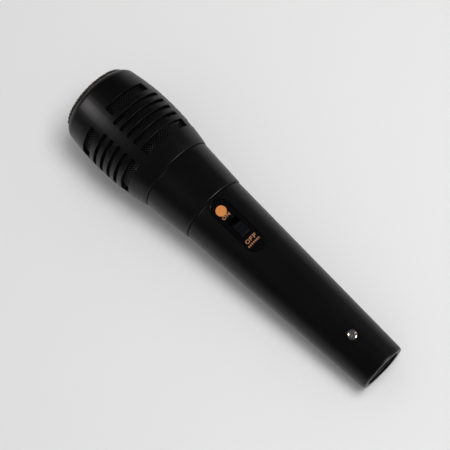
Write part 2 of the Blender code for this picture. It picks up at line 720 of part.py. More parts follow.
def make_foam():
    """Foam cup that lines the mesh at the sides and the front, loose enough to stay as the head unscrews."""
    inset = CAGE_WALL + 2 * GAP + MESH_WALL
    back = SLEEVE_MESH_BACK + GAP + HEAD_RISE
    neck = OPENING_RADIUS + MESH_FLANGE - CLAMP_RING_WIDTH - GAP
    outside = slack(barrel_line(back, SLEEVE_MESH_FRONT - GAP, inset, 5), inset)
    inner = inset + FOAM_WALL
    inside = slack(barrel_line(SLEEVE_MESH_FRONT - GAP - FOAM_WALL, back, inner, 5), inner)
    cover = OPENING_RADIUS - GAP - neck
    cover_front = dome_line(max(cover, MESH_WALL + GAP))
    cover_back = dome_line(max(cover, MESH_WALL + GAP) + FOAM_WALL)
    front = DOME_FOOT + DOME_HEIGHT - max(cover, MESH_WALL + GAP)
    profile = [
        (0, front),
        *reversed(cover_front[:-1]),
        (neck, SLEEVE_MESH_FRONT - GAP),
        *reversed(outside),
        *reversed(inside),
        (neck - FOAM_WALL, SLEEVE_MESH_FRONT - GAP - FOAM_WALL),
        *cover_back[:-1],
        (0, front - FOAM_WALL),
    ]
    turned("foam_liner", profile, FOAM, HEAD_FRONT, LINING_SEGMENTS)


# Capsule

def make_capsule():
    small = SMALL_SEGMENTS
    chamber = HOUSING_BORE - CHAMBER_LEDGE
    ledge = CAPSULE_BACK + HOUSING_FLOOR + CHAMBER_LENGTH
    turned("capsule_housing", [
        (CAPSULE_RADIUS, CAPSULE_FRONT), (CAPSULE_RADIUS, CAPSULE_BACK), (VENT_RADIUS, CAPSULE_BACK),
        (VENT_RADIUS, CAPSULE_BACK + HOUSING_FLOOR), (chamber, CAPSULE_BACK + HOUSING_FLOOR),
        (chamber, ledge), (HOUSING_BORE, ledge), (HOUSING_BORE, CAPSULE_FRONT),
    ], GREY_PLASTIC, CAPSULE_BACK, small)

    felt_back = CAPSULE_BACK + HOUSING_FLOOR + GAP
    ring("damping_felt", VENT_RADIUS, chamber - GAP, felt_back, FELT_THICKNESS, FELT)

    yoke_radius = HOUSING_BORE - GAP
    yoke_bore = yoke_radius - YOKE_WALL
    turned("yoke", [
        (yoke_radius, YOKE_FRONT), (yoke_radius, YOKE_BACK), (0, YOKE_BACK), (0, YOKE_BACK + YOKE_FLOOR),
        (yoke_bore, YOKE_BACK + YOKE_FLOOR), (yoke_bore, YOKE_FRONT),
    ], STEEL, YOKE_BACK, small)

    coil_outer = yoke_bore - COIL_GAP
    coil_inner = coil_outer - COIL_WALL
    pole_radius = coil_inner - COIL_GAP
    magnet_back = YOKE_BACK + YOKE_FLOOR + GAP
    pole_back = YOKE_FRONT - POLE_LENGTH
    magnet_length = pole_back - GAP - magnet_back
    rod("magnet", pole_radius - MAGNET_SETBACK, magnet_length, MAGNET_LOOK,
        (0, 0, magnet_back + magnet_length / 2), steps=small)
    rod("pole_piece", pole_radius, POLE_LENGTH, STEEL, (0, 0, pole_back + POLE_LENGTH / 2), steps=small)

    coil_back = YOKE_FRONT + POLE_LENGTH / 2 - COIL_LENGTH / 2 - GAP
    ring("voice_coil", coil_inner, coil_outer, coil_back, COIL_LENGTH, COPPER)
    ring_outer = HOUSING_BORE - GAP
    ring_inner = ring_outer - RING_WIDTH
    ring("diaphragm_ring", ring_inner, ring_outer, RING_BACK, RING_LENGTH, GREY_PLASTIC)
    make_diaphragm(coil_outer, ring_inner - GAP, coil_back + COIL_LENGTH + GAP)

    skirt_back = RING_FRONT + GAP
    cap_front = CAPSULE_FRONT + GAP + CAP_THICKNESS
    cap = turned("capsule_cap", [
        (0, cap_front), (CAPSULE_RADIUS - CAP_FACE, cap_front), (CAPSULE_RADIUS, cap_front - CAP_FACE),
        (CAPSULE_RADIUS, CAPSULE_FRONT + GAP), (ring_outer, CAPSULE_FRONT + GAP), (ring_outer, skirt_back),
        (ring_inner, skirt_back), (ring_inner, cap_front - CAP_FACE), (0, cap_front - CAP_FACE),
    ], GREY_PLASTIC, CAPSULE_FRONT, small)
    holes = [rod("cap_hole", 1.8 * MM, REACH / 4, None, (0, 0, cap_front))]
    for count, circle, radius in ((6, 0.36, 1.5 * MM), (10, 0.68, 1.3 * MM)):
        for i in range(count):
            angle = 2 * math.pi * i / count
            reach = ring_inner * (circle + 0.08)
            holes.append(rod("cap_hole", radius, REACH / 4, None,
                             (reach * math.cos(angle), reach * math.sin(angle), cap_front), steps=8))
    cut(cap, joined("cap_holes", holes))

    board_back = CAPSULE_BACK - GAP - BOARD_THICKNESS
    board_radius = CAPSULE_RADIUS + GAP - MOUNT_LIP_WIDTH - GAP
    ring("terminal_board", VENT_RADIUS, board_radius, board_back, BOARD_THICKNESS, BOARD)
    for side, tag in ((1, "hot"), (-1, "return")):
        block("capsule_tab_" + tag, (TERMINAL_WIDTH, TERMINAL_THICKNESS, TAB_LENGTH), BRASS,
              (0, side * TAB_OFFSET, board_back - GAP - TAB_LENGTH / 2))

    lip_radius = CAPSULE_RADIUS + GAP - MOUNT_LIP_WIDTH
    turned("capsule_mount", [
        (MOUNT_RADIUS, MOUNT_FRONT), (MOUNT_RADIUS, MOUNT_BACK), (lip_radius, MOUNT_BACK),
        (lip_radius, MOUNT_BACK + MOUNT_LIP), (CAPSULE_RADIUS + GAP, MOUNT_BACK + MOUNT_LIP),
        (CAPSULE_RADIUS + GAP, MOUNT_FRONT),
    ], RUBBER, MOUNT_BACK, small)
    ring("lock_ring", CAPSULE_RADIUS + GAP, MOUNT_RADIUS, MOUNT_FRONT + GAP, LOCK_RING_LENGTH, GREY_PLASTIC)


def ring(name, inner, outer, back, length, look):
    profile = [(outer, back + length), (outer, back), (inner, back), (inner, back + length)]
    return turned(name, profile, look, back, SMALL_SEGMENTS)


def make_diaphragm(coil_radius, edge_radius, level):
    """Thin dome over the coil, with a rolled surround out to the edge."""
    dome = rounded((coil_radius - COIL_WALL, level), (0, level + DIAPHRAGM_DOME), 2, 4)
    middle = (coil_radius + edge_radius) / 2
    under = [(edge_radius, level), (middle, level + DIAPHRAGM_ROLL), (coil_radius, level), *dome]
    over = [(r, z + DIAPHRAGM_WALL) for r, z in under]
    under[-1] = (0, under[-1][1])
    over[-1] = (0, over[-1][1])
    turned("diaphragm", under + over[::-1], FILM, level, SMALL_SEGMENTS)


# Switch

def make_switch():
    plate = surface_shell("switch_plate", PLATE_LENGTH, PLATE_WIDTH,
                          -PLATE_SINK - PLATE_THICKNESS, -PLATE_SINK, GLOSS_PLASTIC)
    cut(plate, knob_opening("plate_slot"))
    make_knob()
    make_slider()
    make_frame()

    inner_width = SLIDER_WIDTH + 2 * GAP
    inner_length = 2 * (FRAME_HALF_LENGTH - FRAME_WALL)
    base = block("switch_base", (BASE_THICKNESS, inner_width - 2 * GAP, inner_length - 2 * GAP), BOARD,
                 (BASE_TOP - BASE_THICKNESS / 2, 0, SLOT_PLACE))
    for i in range(TERMINALS):
        along = SLOT_PLACE + (i - (TERMINALS - 1) / 2) * TERMINAL_PITCH
        hole = block(f"terminal_hole_{i + 1}",
                     (REACH / 4, TERMINAL_THICKNESS + 2 * GAP, TERMINAL_WIDTH + 2 * GAP), None,
                     (BASE_TOP, 0, along))
        cut(base, hole)
        block(f"switch_terminal_{i + 1}", (TERMINAL_LENGTH, TERMINAL_THICKNESS, TERMINAL_WIDTH), BRASS,
              (terminal_foot() + TERMINAL_LENGTH / 2, 0, along))

    for side, tag in ((1, "front"), (-1, "rear")):
        make_switch_screw(side, "switch_screw_" + tag)


def terminal_foot():
    """Level of the free end of the switch's terminals."""
    return BASE_TOP - TERMINAL_LENGTH


def make_knob():
    """Ribbed knob with a pocket for the slider's post; its origin is on its slide's line."""
    height = KNOB_TOP - KNOB_FOOT
    width = SLOT_WIDTH - 2 * GAP
    knob = block("switch_knob", (height, width, KNOB_LENGTH), GLOSS_PLASTIC,
                 (KNOB_FOOT + height / 2, 0, KNOB_PLACE))
    pocket = block("knob_pocket", (2 * (POST_ENTRY + GAP), POST_WIDTH + 2 * GAP, POST_LENGTH + 2 * GAP),
                   None, (KNOB_FOOT, 0, KNOB_PLACE))
    grooves = []
    for i in range(KNOB_GROOVES):
        along = KNOB_PLACE + KNOB_LENGTH / 2 - (i + 1) * KNOB_GROOVE_PITCH
        grooves.append(block("groove", (2 * KNOB_GROOVE_DEPTH, SLOT_WIDTH, KNOB_GROOVE_WIDTH), None,
                             (KNOB_TOP, 0, along)))
    cut(knob, pocket, joined("knob_grooves", grooves))


def make_slider():
    """Insulating slider inside the switch, its post and the contact bridge under it."""
    slider = block("switch_slider", (SLIDER_HEIGHT, SLIDER_WIDTH, SLIDER_LENGTH), GREY_PLASTIC,
                   (SLIDER_FOOT + SLIDER_HEIGHT / 2, 0, KNOB_PLACE))
    post_top = KNOB_FOOT + POST_ENTRY
    post = block("slider_post", (post_top - SLIDER_FOOT - GAP, POST_WIDTH, POST_LENGTH), None,
                 ((post_top + SLIDER_FOOT + GAP) / 2, 0, KNOB_PLACE))
    cut(slider, post, operation="UNION")
    block("contact_bridge", (BRIDGE_THICKNESS, BRIDGE_WIDTH, SLIDER_LENGTH - 2 * SLIDER_SLACK), BRASS,
          (BRIDGE_TOP - BRIDGE_THICKNESS / 2, 0, KNOB_PLACE))


def make_frame():
    """Pressed steel case of the switch: a top with a slot and two ears, and four sides."""
    outer_width = SLIDER_WIDTH + 2 * GAP + 2 * FRAME_WALL
    height = FRAME_TOP - BASE_FOOT
    frame = block("switch_frame", (height, outer_width, 2 * FRAME_HALF_LENGTH), STEEL,
                  (FRAME_TOP - height / 2, 0, SLOT_PLACE))
    ears = block("frame_ears", (FRAME_WALL, EAR_WIDTH, 2 * FRAME_REACH), None,
                 (FRAME_TOP - FRAME_WALL / 2, 0, SLOT_PLACE))
    inside = block("frame_inside", (2 * height, outer_width - 2 * FRAME_WALL,
                                    2 * (FRAME_HALF_LENGTH - FRAME_WALL)),
                   None, (FRAME_TOP - FRAME_WALL - height, 0, SLOT_PLACE))
    slot = block("frame_slot", (REACH / 4, POST_WIDTH + 2 * GAP, POST_LENGTH + KNOB_TRAVEL + 2 * GAP), None,
                 (FRAME_TOP, 0, SLOT_PLACE))
    cut(frame, ears, operation="UNION")
    cut(frame, inside, slot)
    for side in (-1, 1):
        cut(frame, rod(f"ear_hole_{side + 2}", SWITCH_SCREW_SHANK + GAP, REACH / 4, None,
                       (FRAME_TOP, 0, SLOT_PLACE + side * SCREW_SPACING), "X"))


def screw_profile(head, height, shank, length, crown):
    """Outline of a pan-head screw about Z: the seat is at 0, the head above it."""
    return [(0, height), (head * 0.55, height - crown * 0.25), (head, height - crown), (head, 0),
            (shank, 0), (shank, -length + shank), (0, -length)]


def standing_screw(name, head, height, shank, length, crown, at, steps):
    """A pan-head screw that points into the handle, along -X, with a cross recess."""
    screw = turned(name, screw_profile(head, height, shank, length, crown), BRIGHT_STEEL, 0, steps)
    screw.location = at
    screw.rotation_euler = (0, math.pi / 2, 0)
    arm = head * 0.28
    span = head * 1.15
    depth = height * 1.1
    bar = block(name + "_bar", (depth, arm, span), None, (at[0] + height, 0, at[2]))
    cross = block(name + "_cross", (depth, span, arm), None, (at[0] + height, 0, at[2]))
    cut(screw, cut(bar, cross, operation="UNION"))
    return screw


def make_switch_screw(side, name):
    seat = switch_screw_seat(side) + GAP
    length = seat - FRAME_TOP + FRAME_WALL + SWITCH_SCREW_REACH
    standing_screw(name, SWITCH_SCREW_HEAD, SWITCH_SCREW_HEIGHT, SWITCH_SCREW_SHANK, length, 0.25 * MM,
                   (seat, 0, SLOT_PLACE + side * SCREW_SPACING), FINE_SEGMENTS)


# Tail

def make_connector():
    """Three-pin insert: a cup with a septum, and a boss behind it for the tail's screw."""
    back_bore = INSERT_RADIUS - BACK_WALL
    shoulder = TAIL_FLANGE + GAP
    insert = turned("connector_insert", [
        (INSERT_RADIUS, INSERT_BACK), (INSERT_RADIUS, shoulder), (INSERT_RIM_RADIUS, shoulder),
        (INSERT_RIM_RADIUS, INSERT_FRONT), (CAVITY_RADIUS, INSERT_FRONT), (CAVITY_RADIUS, SEPTUM_FRONT),
        (0, SEPTUM_FRONT), (0, SEPTUM_BACK), (back_bore, SEPTUM_BACK), (back_bore, INSERT_BACK),
    ], GREY_PLASTIC, INSERT_FRONT)
    boss_top = back_bore + BACK_WALL / 2
    boss_length = INSERT_BACK - SEPTUM_BACK + SEPTUM / 2
    boss = block("screw_boss", (boss_top - BOSS_FOOT, BOSS_WIDTH, boss_length), None,
                 ((boss_top + BOSS_FOOT) / 2, 0, INSERT_BACK - boss_length / 2 - GAP))
    rim = turned("boss_limit", [
        (0, INSERT_BACK + REACH), (back_bore + BACK_WALL / 2, INSERT_BACK + REACH),
        (back_bore + BACK_WALL / 2, 0), (0, 0),
    ])
    cut(insert, cut(boss, rim, operation="INTERSECT"), operation="UNION")
    cut(insert, tail_screw_hole("boss_screw_hole"))
    cut(insert, block("keyway", (2 * KEYWAY_DEPTH, KEYWAY_WIDTH, 2 * CAVITY_DEPTH - 2 * MM), None,
                      (CAVITY_RADIUS, 0, INSERT_FRONT)))
    for i in range(PINS):
        angle = math.pi / 3 + 2 * math.pi * i / PINS
        across = (PIN_CIRCLE * math.cos(angle), PIN_CIRCLE * math.sin(angle))
        start = INSERT_FRONT + PIN_SETBACK
        length = SEPTUM_BACK + PIN_TAIL - start
        cut(insert, rod(f"pin_hole_{i + 1}", PIN_RADIUS + GAP, 3 * SEPTUM, None,
                        (*across, (SEPTUM_FRONT + SEPTUM_BACK) / 2)))
        make_pin(f"connector_pin_{i + 1}", start, length, across)

    foot = -back_bore + GAP
    outline = [(0, 0), (LUG_FOOT, 0), (LUG_FOOT, LUG_THICKNESS), (LUG_THICKNESS, LUG_THICKNESS),
               (LUG_THICKNESS, INSERT_BACK - SEPTUM_BACK), (0, INSERT_BACK - SEPTUM_BACK)]
    rise = CAVITY_RADIUS - math.sqrt(CAVITY_RADIUS ** 2 - LUG_WIDTH ** 2 / 4)
    upright = Matrix.Rotation(math.pi / 2, 4, "X")
    place("ground_lug", slab(outline, LUG_WIDTH, upright), BRASS, (foot + rise, 0, SEPTUM_BACK + GAP))

    seat = tail_screw_seat() + GAP
    standing_screw("tail_screw", TAIL_SCREW_HEAD, TAIL_SCREW_HEIGHT, TAIL_SCREW_SHANK, TAIL_SCREW_LENGTH,
                   0.8 * MM, (seat, 0, TAIL_SCREW_PLACE), 2 * FINE_SEGMENTS)


def make_pin(name, start, length, across):
    """Contact pin with a rounded tip."""
    tip = rounded((PIN_RADIUS, PIN_RADIUS), (0, 0), 2, 3)[:-1]
    profile = [(0, length), (PIN_RADIUS, length), *tip, (0, 0)]
    pin = turned(name, profile, BRIGHT_STEEL, 0, FINE_SEGMENTS)
    pin.location = (*across, start)


def make_sleeve():
    """Tapered steel sleeve inside the handle, midway between the connector and the switch."""
    middle = (INSERT_BACK + SLOT_PLACE - FRAME_REACH) / 2
    ends = (middle + SLEEVE_LENGTH / 2, middle - SLEEVE_LENGTH / 2)
    outside = [(handle_radius(z) - HANDLE_WALL - GAP, z) for z in ends]
    inside = [(r - SLEEVE_WALL, z) for r, z in reversed(outside)]
    turned("weight_sleeve", outside + inside, STEEL, middle, SMALL_SEGMENTS)


# Leads

def lead(name, points, look):
    made = curve_object(smooth_path([Vector(p) for p in points]), False, "3D")
    made.data.bevel_depth = LEAD_RADIUS
    made.data.bevel_resolution = 2
    made.data.use_fill_caps = True
    place(name, mesh_of(made), look)


def make_leads():
    tab_end = CAPSULE_BACK - 3 * GAP - BOARD_THICKNESS - TAB_LENGTH
    start = tab_end - GAP
    under = terminal_foot() - GAP - LEAD_RADIUS
    pin_end = SEPTUM_BACK + PIN_TAIL + GAP
    frame_end = SLOT_PLACE + FRAME_REACH
    low = under - 3 * MM
    middle = (INSERT_BACK + SLOT_PLACE - FRAME_REACH) / 2
    pins = [(PIN_CIRCLE * math.cos(a), PIN_CIRCLE * math.sin(a)) for a in (math.pi / 3, math.pi, -math.pi / 3)]
    front_terminal = SLOT_PLACE + TERMINAL_PITCH * (TERMINALS - 1) / 2

    lead("lead_capsule_to_switch", [
        (0, TAB_OFFSET, start), (0.5 * MM, TAB_OFFSET, start - 8 * MM), (low, 2 * MM, frame_end + 2 * MM),
        (low + 1 * MM, 0, front_terminal + 5 * MM), (under, 0, front_terminal),
    ], RED_COVER)
    lead("lead_switch_to_pin", [
        (under, 0, SLOT_PLACE), (low, 0, SLOT_PLACE - 6 * MM), (low, 3 * MM, middle + 10 * MM),
        (pins[0][0] - 1 * MM, 4 * MM, middle - 10 * MM), (*pins[0], pin_end + 5 * MM), (*pins[0], pin_end),
    ], RED_COVER)
    lead("lead_return", [
        (0, -TAB_OFFSET, start), (-1 * MM, -TAB_OFFSET, start - 10 * MM), (-2 * MM, -6 * MM, SLOT_PLACE),
        (-1 * MM, -5 * MM, middle), (pins[2][0] - 1 * MM, -5 * MM, pin_end + 16 * MM),
        (*pins[2], pin_end + 5 * MM), (*pins[2], pin_end),
    ], WHITE_COVER)
    lug = -(INSERT_RADIUS - BACK_WALL) + LUG_THICKNESS + 4 * GAP + LEAD_RADIUS
    lead("lead_ground", [
        (*pins[1], pin_end), (pins[1][0] - 0.4 * MM, 0, pin_end + 2.5 * MM),
        ((pins[1][0] + lug) / 2, 0, pin_end + 4 * MM), (lug + 0.6 * MM, 0, pin_end + 2.5 * MM),
        (lug + 0.6 * MM, 0, pin_end),
    ], GREEN_COVER)


clear_scene()
PARTS = collection("dynamic_microphone")
CUTTERS = collection("cutters")
ASSEMBLY = make_assembly()

BLACK_PLASTIC = material("black_plastic", (0.012, 0.012, 0.014), 0.5)
GLOSS_PLASTIC = material("gloss_plastic", (0.008, 0.008, 0.009), 0.2)
GREY_PLASTIC = material("grey_plastic", (0.035, 0.035, 0.038), 0.55)
WIRE = material("wire", (0.03, 0.03, 0.03), 0.45, 0.6)
FOAM = material("foam", (0.02, 0.02, 0.02), 0.95)
RUBBER = material("rubber", (0.02, 0.02, 0.02), 0.8)
FELT = material("felt", (0.25, 0.25, 0.24), 0.95)
FILM = material("film", (0.75, 0.72, 0.6), 0.3)
BOARD = material("board", (0.3, 0.17, 0.07), 0.6)
STEEL = material("steel", (0.5, 0.5, 0.52), 0.35, 1.0)
BRIGHT_STEEL = material("bright_steel", (0.8, 0.78, 0.75), 0.15, 1.0)
MAGNET_LOOK = material("magnet", (0.12, 0.12, 0.12), 0.5, 0.5)
COPPER = material("copper", (0.7, 0.3, 0.15), 0.3, 1.0)
BRASS = material("brass", (0.8, 0.6, 0.3), 0.25, 1.0)
RED_COVER = material("red_cover", (0.5, 0.03, 0.03), 0.5)
WHITE_COVER = material("white_cover", (0.7, 0.7, 0.68), 0.5)
GREEN_COVER = material("green_cover", (0.05, 0.3, 0.08), 0.5)

make_handle()
make_collar()
make_cage()
make_side_mesh()
make_front_mesh()
make_clamp_ring()
make_foam()
make_capsule()
make_switch()
make_connector()
make_sleeve()
make_leads()
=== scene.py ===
"""Hand-held dynamic microphone on a pale table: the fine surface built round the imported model.

Pieces are shaped in the microphone's own frame, with Z along the axis from the tail's end face to
the head and +X the side of the switch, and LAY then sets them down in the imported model's frame.
"""

import json
import math

import bmesh
import bpy
from mathutils import Matrix, Vector


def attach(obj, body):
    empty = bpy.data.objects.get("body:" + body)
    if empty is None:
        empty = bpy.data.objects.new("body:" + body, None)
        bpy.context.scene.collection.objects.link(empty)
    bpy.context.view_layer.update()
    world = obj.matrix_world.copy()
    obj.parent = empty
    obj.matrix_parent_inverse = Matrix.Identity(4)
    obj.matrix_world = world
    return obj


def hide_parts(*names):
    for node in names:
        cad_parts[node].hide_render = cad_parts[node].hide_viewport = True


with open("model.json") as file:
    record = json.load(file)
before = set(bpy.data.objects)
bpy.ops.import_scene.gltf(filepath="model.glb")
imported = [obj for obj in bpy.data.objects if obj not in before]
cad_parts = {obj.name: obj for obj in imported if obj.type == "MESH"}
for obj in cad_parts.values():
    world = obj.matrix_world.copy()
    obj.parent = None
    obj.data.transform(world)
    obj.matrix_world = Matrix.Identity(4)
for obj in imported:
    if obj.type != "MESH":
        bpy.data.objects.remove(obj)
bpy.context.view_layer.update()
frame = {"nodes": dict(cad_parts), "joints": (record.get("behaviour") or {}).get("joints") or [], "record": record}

MM = 0.001
GAP = 0.3 * MM

# Handle and tail
HANDLE_LENGTH = 130.4 * MM
TAIL_RADIUS = 15.0 * MM
TAIL_ROUND = 2.2 * MM
TAIL_FACE = 13.9 * MM
MOUTH_RADIUS = 20.8 * MM
TAIL_BORE = 11.5 * MM
INSERT_BORE = 12.6 * MM
LIP_DEPTH = 3 * MM             # of the tail's lip
INSERT_END = 28.3 * MM
TAPER_START = 33.3 * MM        # where the bore begins to follow the handle's taper
MOUTH_BORE = 18.5 * MM
MOUTH_DEPTH = 6.3 * MM
SHELL_WALL = 2.2 * MM          # of the handle and the collar
SCREW_PLACE = 23.0 * MM
SCREW_HEAD = 2.95 * MM         # radius
SCREW_SHANK = 1.45 * MM
SCREW_SINK = 1.1 * MM          # of the head's seat
SCREW_RISE = 1.5 * MM          # height of the head

# Socket, in depths from the tail's face
RIM_DEPTH = 1.2 * MM
CAVITY_RADIUS = 9.6 * MM
CAVITY_DEPTH = 15 * MM
BOSS_RADIUS = 6.9 * MM
BOSS_FACE = 14.3 * MM
SEPTUM_BACK = 18 * MM
INSERT_INNER = 10.8 * MM
INSERT_BACK = 26.3 * MM
PIN_RADIUS = 1.2 * MM
PIN_CIRCLE = 4.1 * MM
PIN_TIP = 4.6 * MM
PIN_BACK = 21 * MM

# Switch
PLATE_PLACE = 109.8 * MM
PLATE_LENGTH = 37.8 * MM
PLATE_WIDTH = 11.2 * MM
PLATE_SINK = 0.2 * MM
PLATE_THICKNESS = 0.8 * MM
PLATE_CLEARANCE = 0.15 * MM    # left under the plate
SLOT_PLACE = 108.7 * MM
SLOT_LENGTH = 12.4 * MM
SLOT_WIDTH = 6.4 * MM
KNOB_PLACE = 106.7 * MM
KNOB_LENGTH = 7.6 * MM
KNOB_RISE = 0.8 * MM           # over the handle's surface
KNOB_FOOT = 14.9 * MM          # underside, from the axis
GROOVES = 4                    # across the knob, which leave its ribs
GROOVE_PITCH = 1.05 * MM
GROOVE_DEPTH = 0.9 * MM

# Neck
COLLAR_REAR = HANDLE_LENGTH + GAP
COLLAR_FRONT = COLLAR_REAR + 29.7 * MM
COLLAR_REAR_RADIUS = 21.25 * MM
COLLAR_FRONT_RADIUS = 23.7 * MM
COLLAR_BORE = 16.2 * MM
LEDGE_DEPTH = 8.4 * MM
THREAD_RADIUS = 20.7 * MM
THREAD_BORE = 19.0 * MM
THREAD_END = COLLAR_FRONT + 6.8 * MM
THREAD_PITCH = 2.0 * MM
THREAD_DEPTH = 0.45 * MM
THREAD_TURNS = 2.6
HEAD_RISE = 3 * THREAD_PITCH

# Head
HEAD_BASE = COLLAR_FRONT + GAP
HEAD_FRONT = HEAD_BASE + 65.1 * MM
HEAD_RADIUS = 27.95 * MM
HEAD_SWELL = 3.8 * MM
BARREL_HEIGHT = 35.3 * MM
BARREL_TOP = HEAD_BASE + BARREL_HEIGHT
SHOULDER_BASE = HEAD_FRONT - 4.8 * MM
SHOULDER_DROP = 2.1 * MM
FRONT_RADIUS = 22.25 * MM
OPENING_RADIUS = 21.75 * MM
LIP_BACK = HEAD_FRONT - 2.0 * MM
CAGE_WALL = 2.2 * MM
CAGE_STEP = THREAD_END + 0.8 * MM
CAGE_BORE = 21.0 * MM          # clears the thread
COLUMNS = 4
RIB_ANGLE = math.radians(-23)
WIDE = math.radians(37.4)
NARROW = math.radians(31.2)
REAR_WINDOW = 15.1 * MM, 5.6 * MM      # middle over the head's base, and height
FRONT_WINDOW = 45.8 * MM, 5.9 * MM
SLITS = 4
SLIT_START = 22.3 * MM
SLIT_PITCH = 5.37 * MM
SLIT_HEIGHT = 2.35 * MM
WINDOW_BEVEL = 0.17 * MM
BASE_ROUND = 0.7 * MM
CORNER = 0.7 * MM
DOME_FOOT = HEAD_FRONT - 0.8 * MM
DOME_HEIGHT = 4.8 * MM
MESH_WALL = 0.8 * MM
WIRE_PITCH = 1.3 * MM
WIRE_RADIUS = 0.2 * MM
WIRE_WAVE = 0.17 * MM
FRONT_PITCH = 1.6 * MM
FRONT_WIRE = 0.28 * MM
FRONT_WAVE = 0.42 * MM
DOME_FULLNESS = 2.9
DOME_BULGE = 0.85 * MM         # over the opening's rim
CLAMP_BACK = LIP_BACK - GAP - MESH_WALL - GAP - 3.0 * MM
FLANGE_WIDTH = 1.8 * MM        # of the front mesh, behind the cage's lip
CLAMP_WIDTH = 2.4 * MM
FOAM_WALL = 3 * MM
FOAM_FULLNESS = 2.7
MESH_MIDDLE = 24.6 * MM        # the side mesh's mean radius

# Capsule
CAPSULE_RADIUS = 15.5 * MM
CAPSULE_BACK = COLLAR_FRONT - 2.4 * MM
CAPSULE_FRONT = CAPSULE_BACK + 26.0 * MM
MOUNT_RADIUS = 18.7 * MM

# Print: a row of plain marks
MARK_COUNT = 7
MARK_PITCH = 1.25 * MM
MARK_WIDTH = 0.7 * MM
MARK_HEIGHT = 1.1 * MM
MARKS_START = -4.7 * MM

# View: turn round the axis from over the switch, lean to the tail and slant of the axis, in degrees
VIEW_TURN, VIEW_LEAN, VIEW_SLANT = 7.9, 13.85, 43.317
VIEW_PLACE = 119.8 * MM
VIEW_SHIFT = 2.0 * MM
VIEW_DISTANCE = 0.8617
VIEW_LENS = 122.4


def laying():
    """The microphone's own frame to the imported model's, from its tail face and the head's axis."""
    record = frame["record"]
    tail = next(m for m in record["mounts"] if m["name"] == "tail_face")["pos_m"]
    turn = next(j for j in frame["joints"] if j["name"] == "head_turn")
    z = Vector(turn["axis"]).normalized()
    y = Vector((0, 1, 0))
    x = y.cross(z)
    matrix = Matrix((x, y, z)).transposed().to_4x4()
    matrix.translation = Vector((tail[0], 0, tail[2]))
    return matrix


LAY = laying()


# Shapes

def outline(points, steps=5):
    """Closed outline of (radius, height, fillet) points, with its corners rounded."""
    made = []
    for i, point in enumerate(points):
        p = Vector(point[:2])
        fillet = point[2] if len(point) > 2 else 0
        if not fillet:
            made.append(tuple(p))
            continue
        a = Vector(points[i - 1][:2]) - p
        b = Vector(points[(i + 1) % len(points)][:2]) - p
        half = a.angle(b) / 2
        reach = min(fillet / math.tan(half), 0.48 * a.length, 0.48 * b.length)
        radius = reach * math.tan(half)
        u, v = a.normalized(), b.normalized()
        centre = p + (u + v).normalized() * radius / math.sin(half)
        start, end = p + u * reach - centre, p + v * reach - centre
        span = start.angle(end)
        for k in range(steps + 1):
            s = k / steps
            made.append(tuple(centre + (start * math.sin((1 - s) * span) + end * math.sin(s * span))
                              / math.sin(span)))
    return made


def turned(name, points, steps=160):
    """Closed ring, or a solid if its outline touches the axis twice, turned about the axis."""
    work = bmesh.new()
    rings = []
    for r, z in points:
        if r < 1e-7:
            rings.append([work.verts.new((0, 0, z))] * steps)
        else:
            rings.append([work.verts.new((r * math.cos(2 * math.pi * i / steps),
                                          r * math.sin(2 * math.pi * i / steps), z)) for i in range(steps)])
    for ring, following in zip(rings, rings[1:] + rings[:1]):
        for i in range(steps):
            j = (i + 1) % steps
            corners = list(dict.fromkeys((ring[i], ring[j], following[j], following[i])))
            if len(corners) > 2:
                work.faces.new(corners)
    return piece(name, work)


def piece(name, work, sharp=35):
    """An object from a bmesh, with its faces pointing out and its sharp edges kept."""
    bmesh.ops.recalc_face_normals(work, faces=work.faces)
    mesh = bpy.data.meshes.new(name)
    work.to_mesh(mesh)
    work.free()
    mesh.shade_smooth()
    mesh.set_sharp_from_angle(angle=math.radians(sharp))
    made = bpy.data.objects.new(name, mesh)
    bpy.context.scene.collection.objects.link(made)
    return made


def applied(made):
    """A new mesh of a piece, as its modifiers leave it."""
    depsgraph = bpy.context.evaluated_depsgraph_get()
    return bpy.data.meshes.new_from_object(made.evaluated_get(depsgraph), depsgraph=depsgraph)


def set_down(made):
    """A piece with its modifiers applied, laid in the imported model's frame."""
    mesh = applied(made)
    mesh.transform(LAY @ made.matrix_world)
    mesh.name = made.name
    made.modifiers.clear()
    made.data = mesh
    made.matrix_world = Matrix.Identity(4)
    return made


def even_shading(made):
    """Keeps large faces flat to the light beside narrow rounded edges."""
    modifier = made.modifiers.new("even_shading", "WEIGHTED_NORMAL")
    modifier.keep_sharp = True
    return made


def cut(made, *cutters, operation="DIFFERENCE"):
    """Cuts a piece by others one after another, which are then removed."""
    for cutter in cutters:
        boolean = made.modifiers.new("cut", "BOOLEAN")
        boolean.operation = operation
        boolean.solver = "EXACT"
        boolean.object = cutter
    mesh = applied(made)
    made.modifiers.clear()
    made.data = mesh
    mesh.shade_smooth()
    mesh.set_sharp_from_angle(angle=math.radians(30))
    for cutter in cutters:
        bpy.data.objects.remove(cutter)
    return made


def block(size, at):
    work = bmesh.new()
    bmesh.ops.create_cube(work, size=1, matrix=Matrix.Translation(at) @ Matrix.Diagonal((*size, 1)))
    return piece("block", work)


def prism(points, height):
    """Upright walls on an outline in (across, along), outwards through the side of the switch."""
    work = bmesh.new()
    near = [work.verts.new((10 * MM, x, height + y)) for x, y in points]
    far = [work.verts.new((30 * MM, x, height + y)) for x, y in points]
    for i in range(len(points)):
        j = (i + 1) % len(points)
        work.faces.new((near[i], near[j], far[j], far[i]))
    work.faces.new(near)
    work.faces.new(far)
    return piece("prism", work)


def bar(radius, length, at, axis="Z", steps=48):
    work = bmesh.new()
    turn = Matrix.Rotation(math.pi / 2, 4, "Y") if axis == "X" else Matrix.Identity(4)
    bmesh.ops.create_cone(work, cap_ends=True, segments=steps, radius1=radius, radius2=radius,
                          depth=length, matrix=Matrix.Translation(at) @ turn)
    return piece("bar", work)


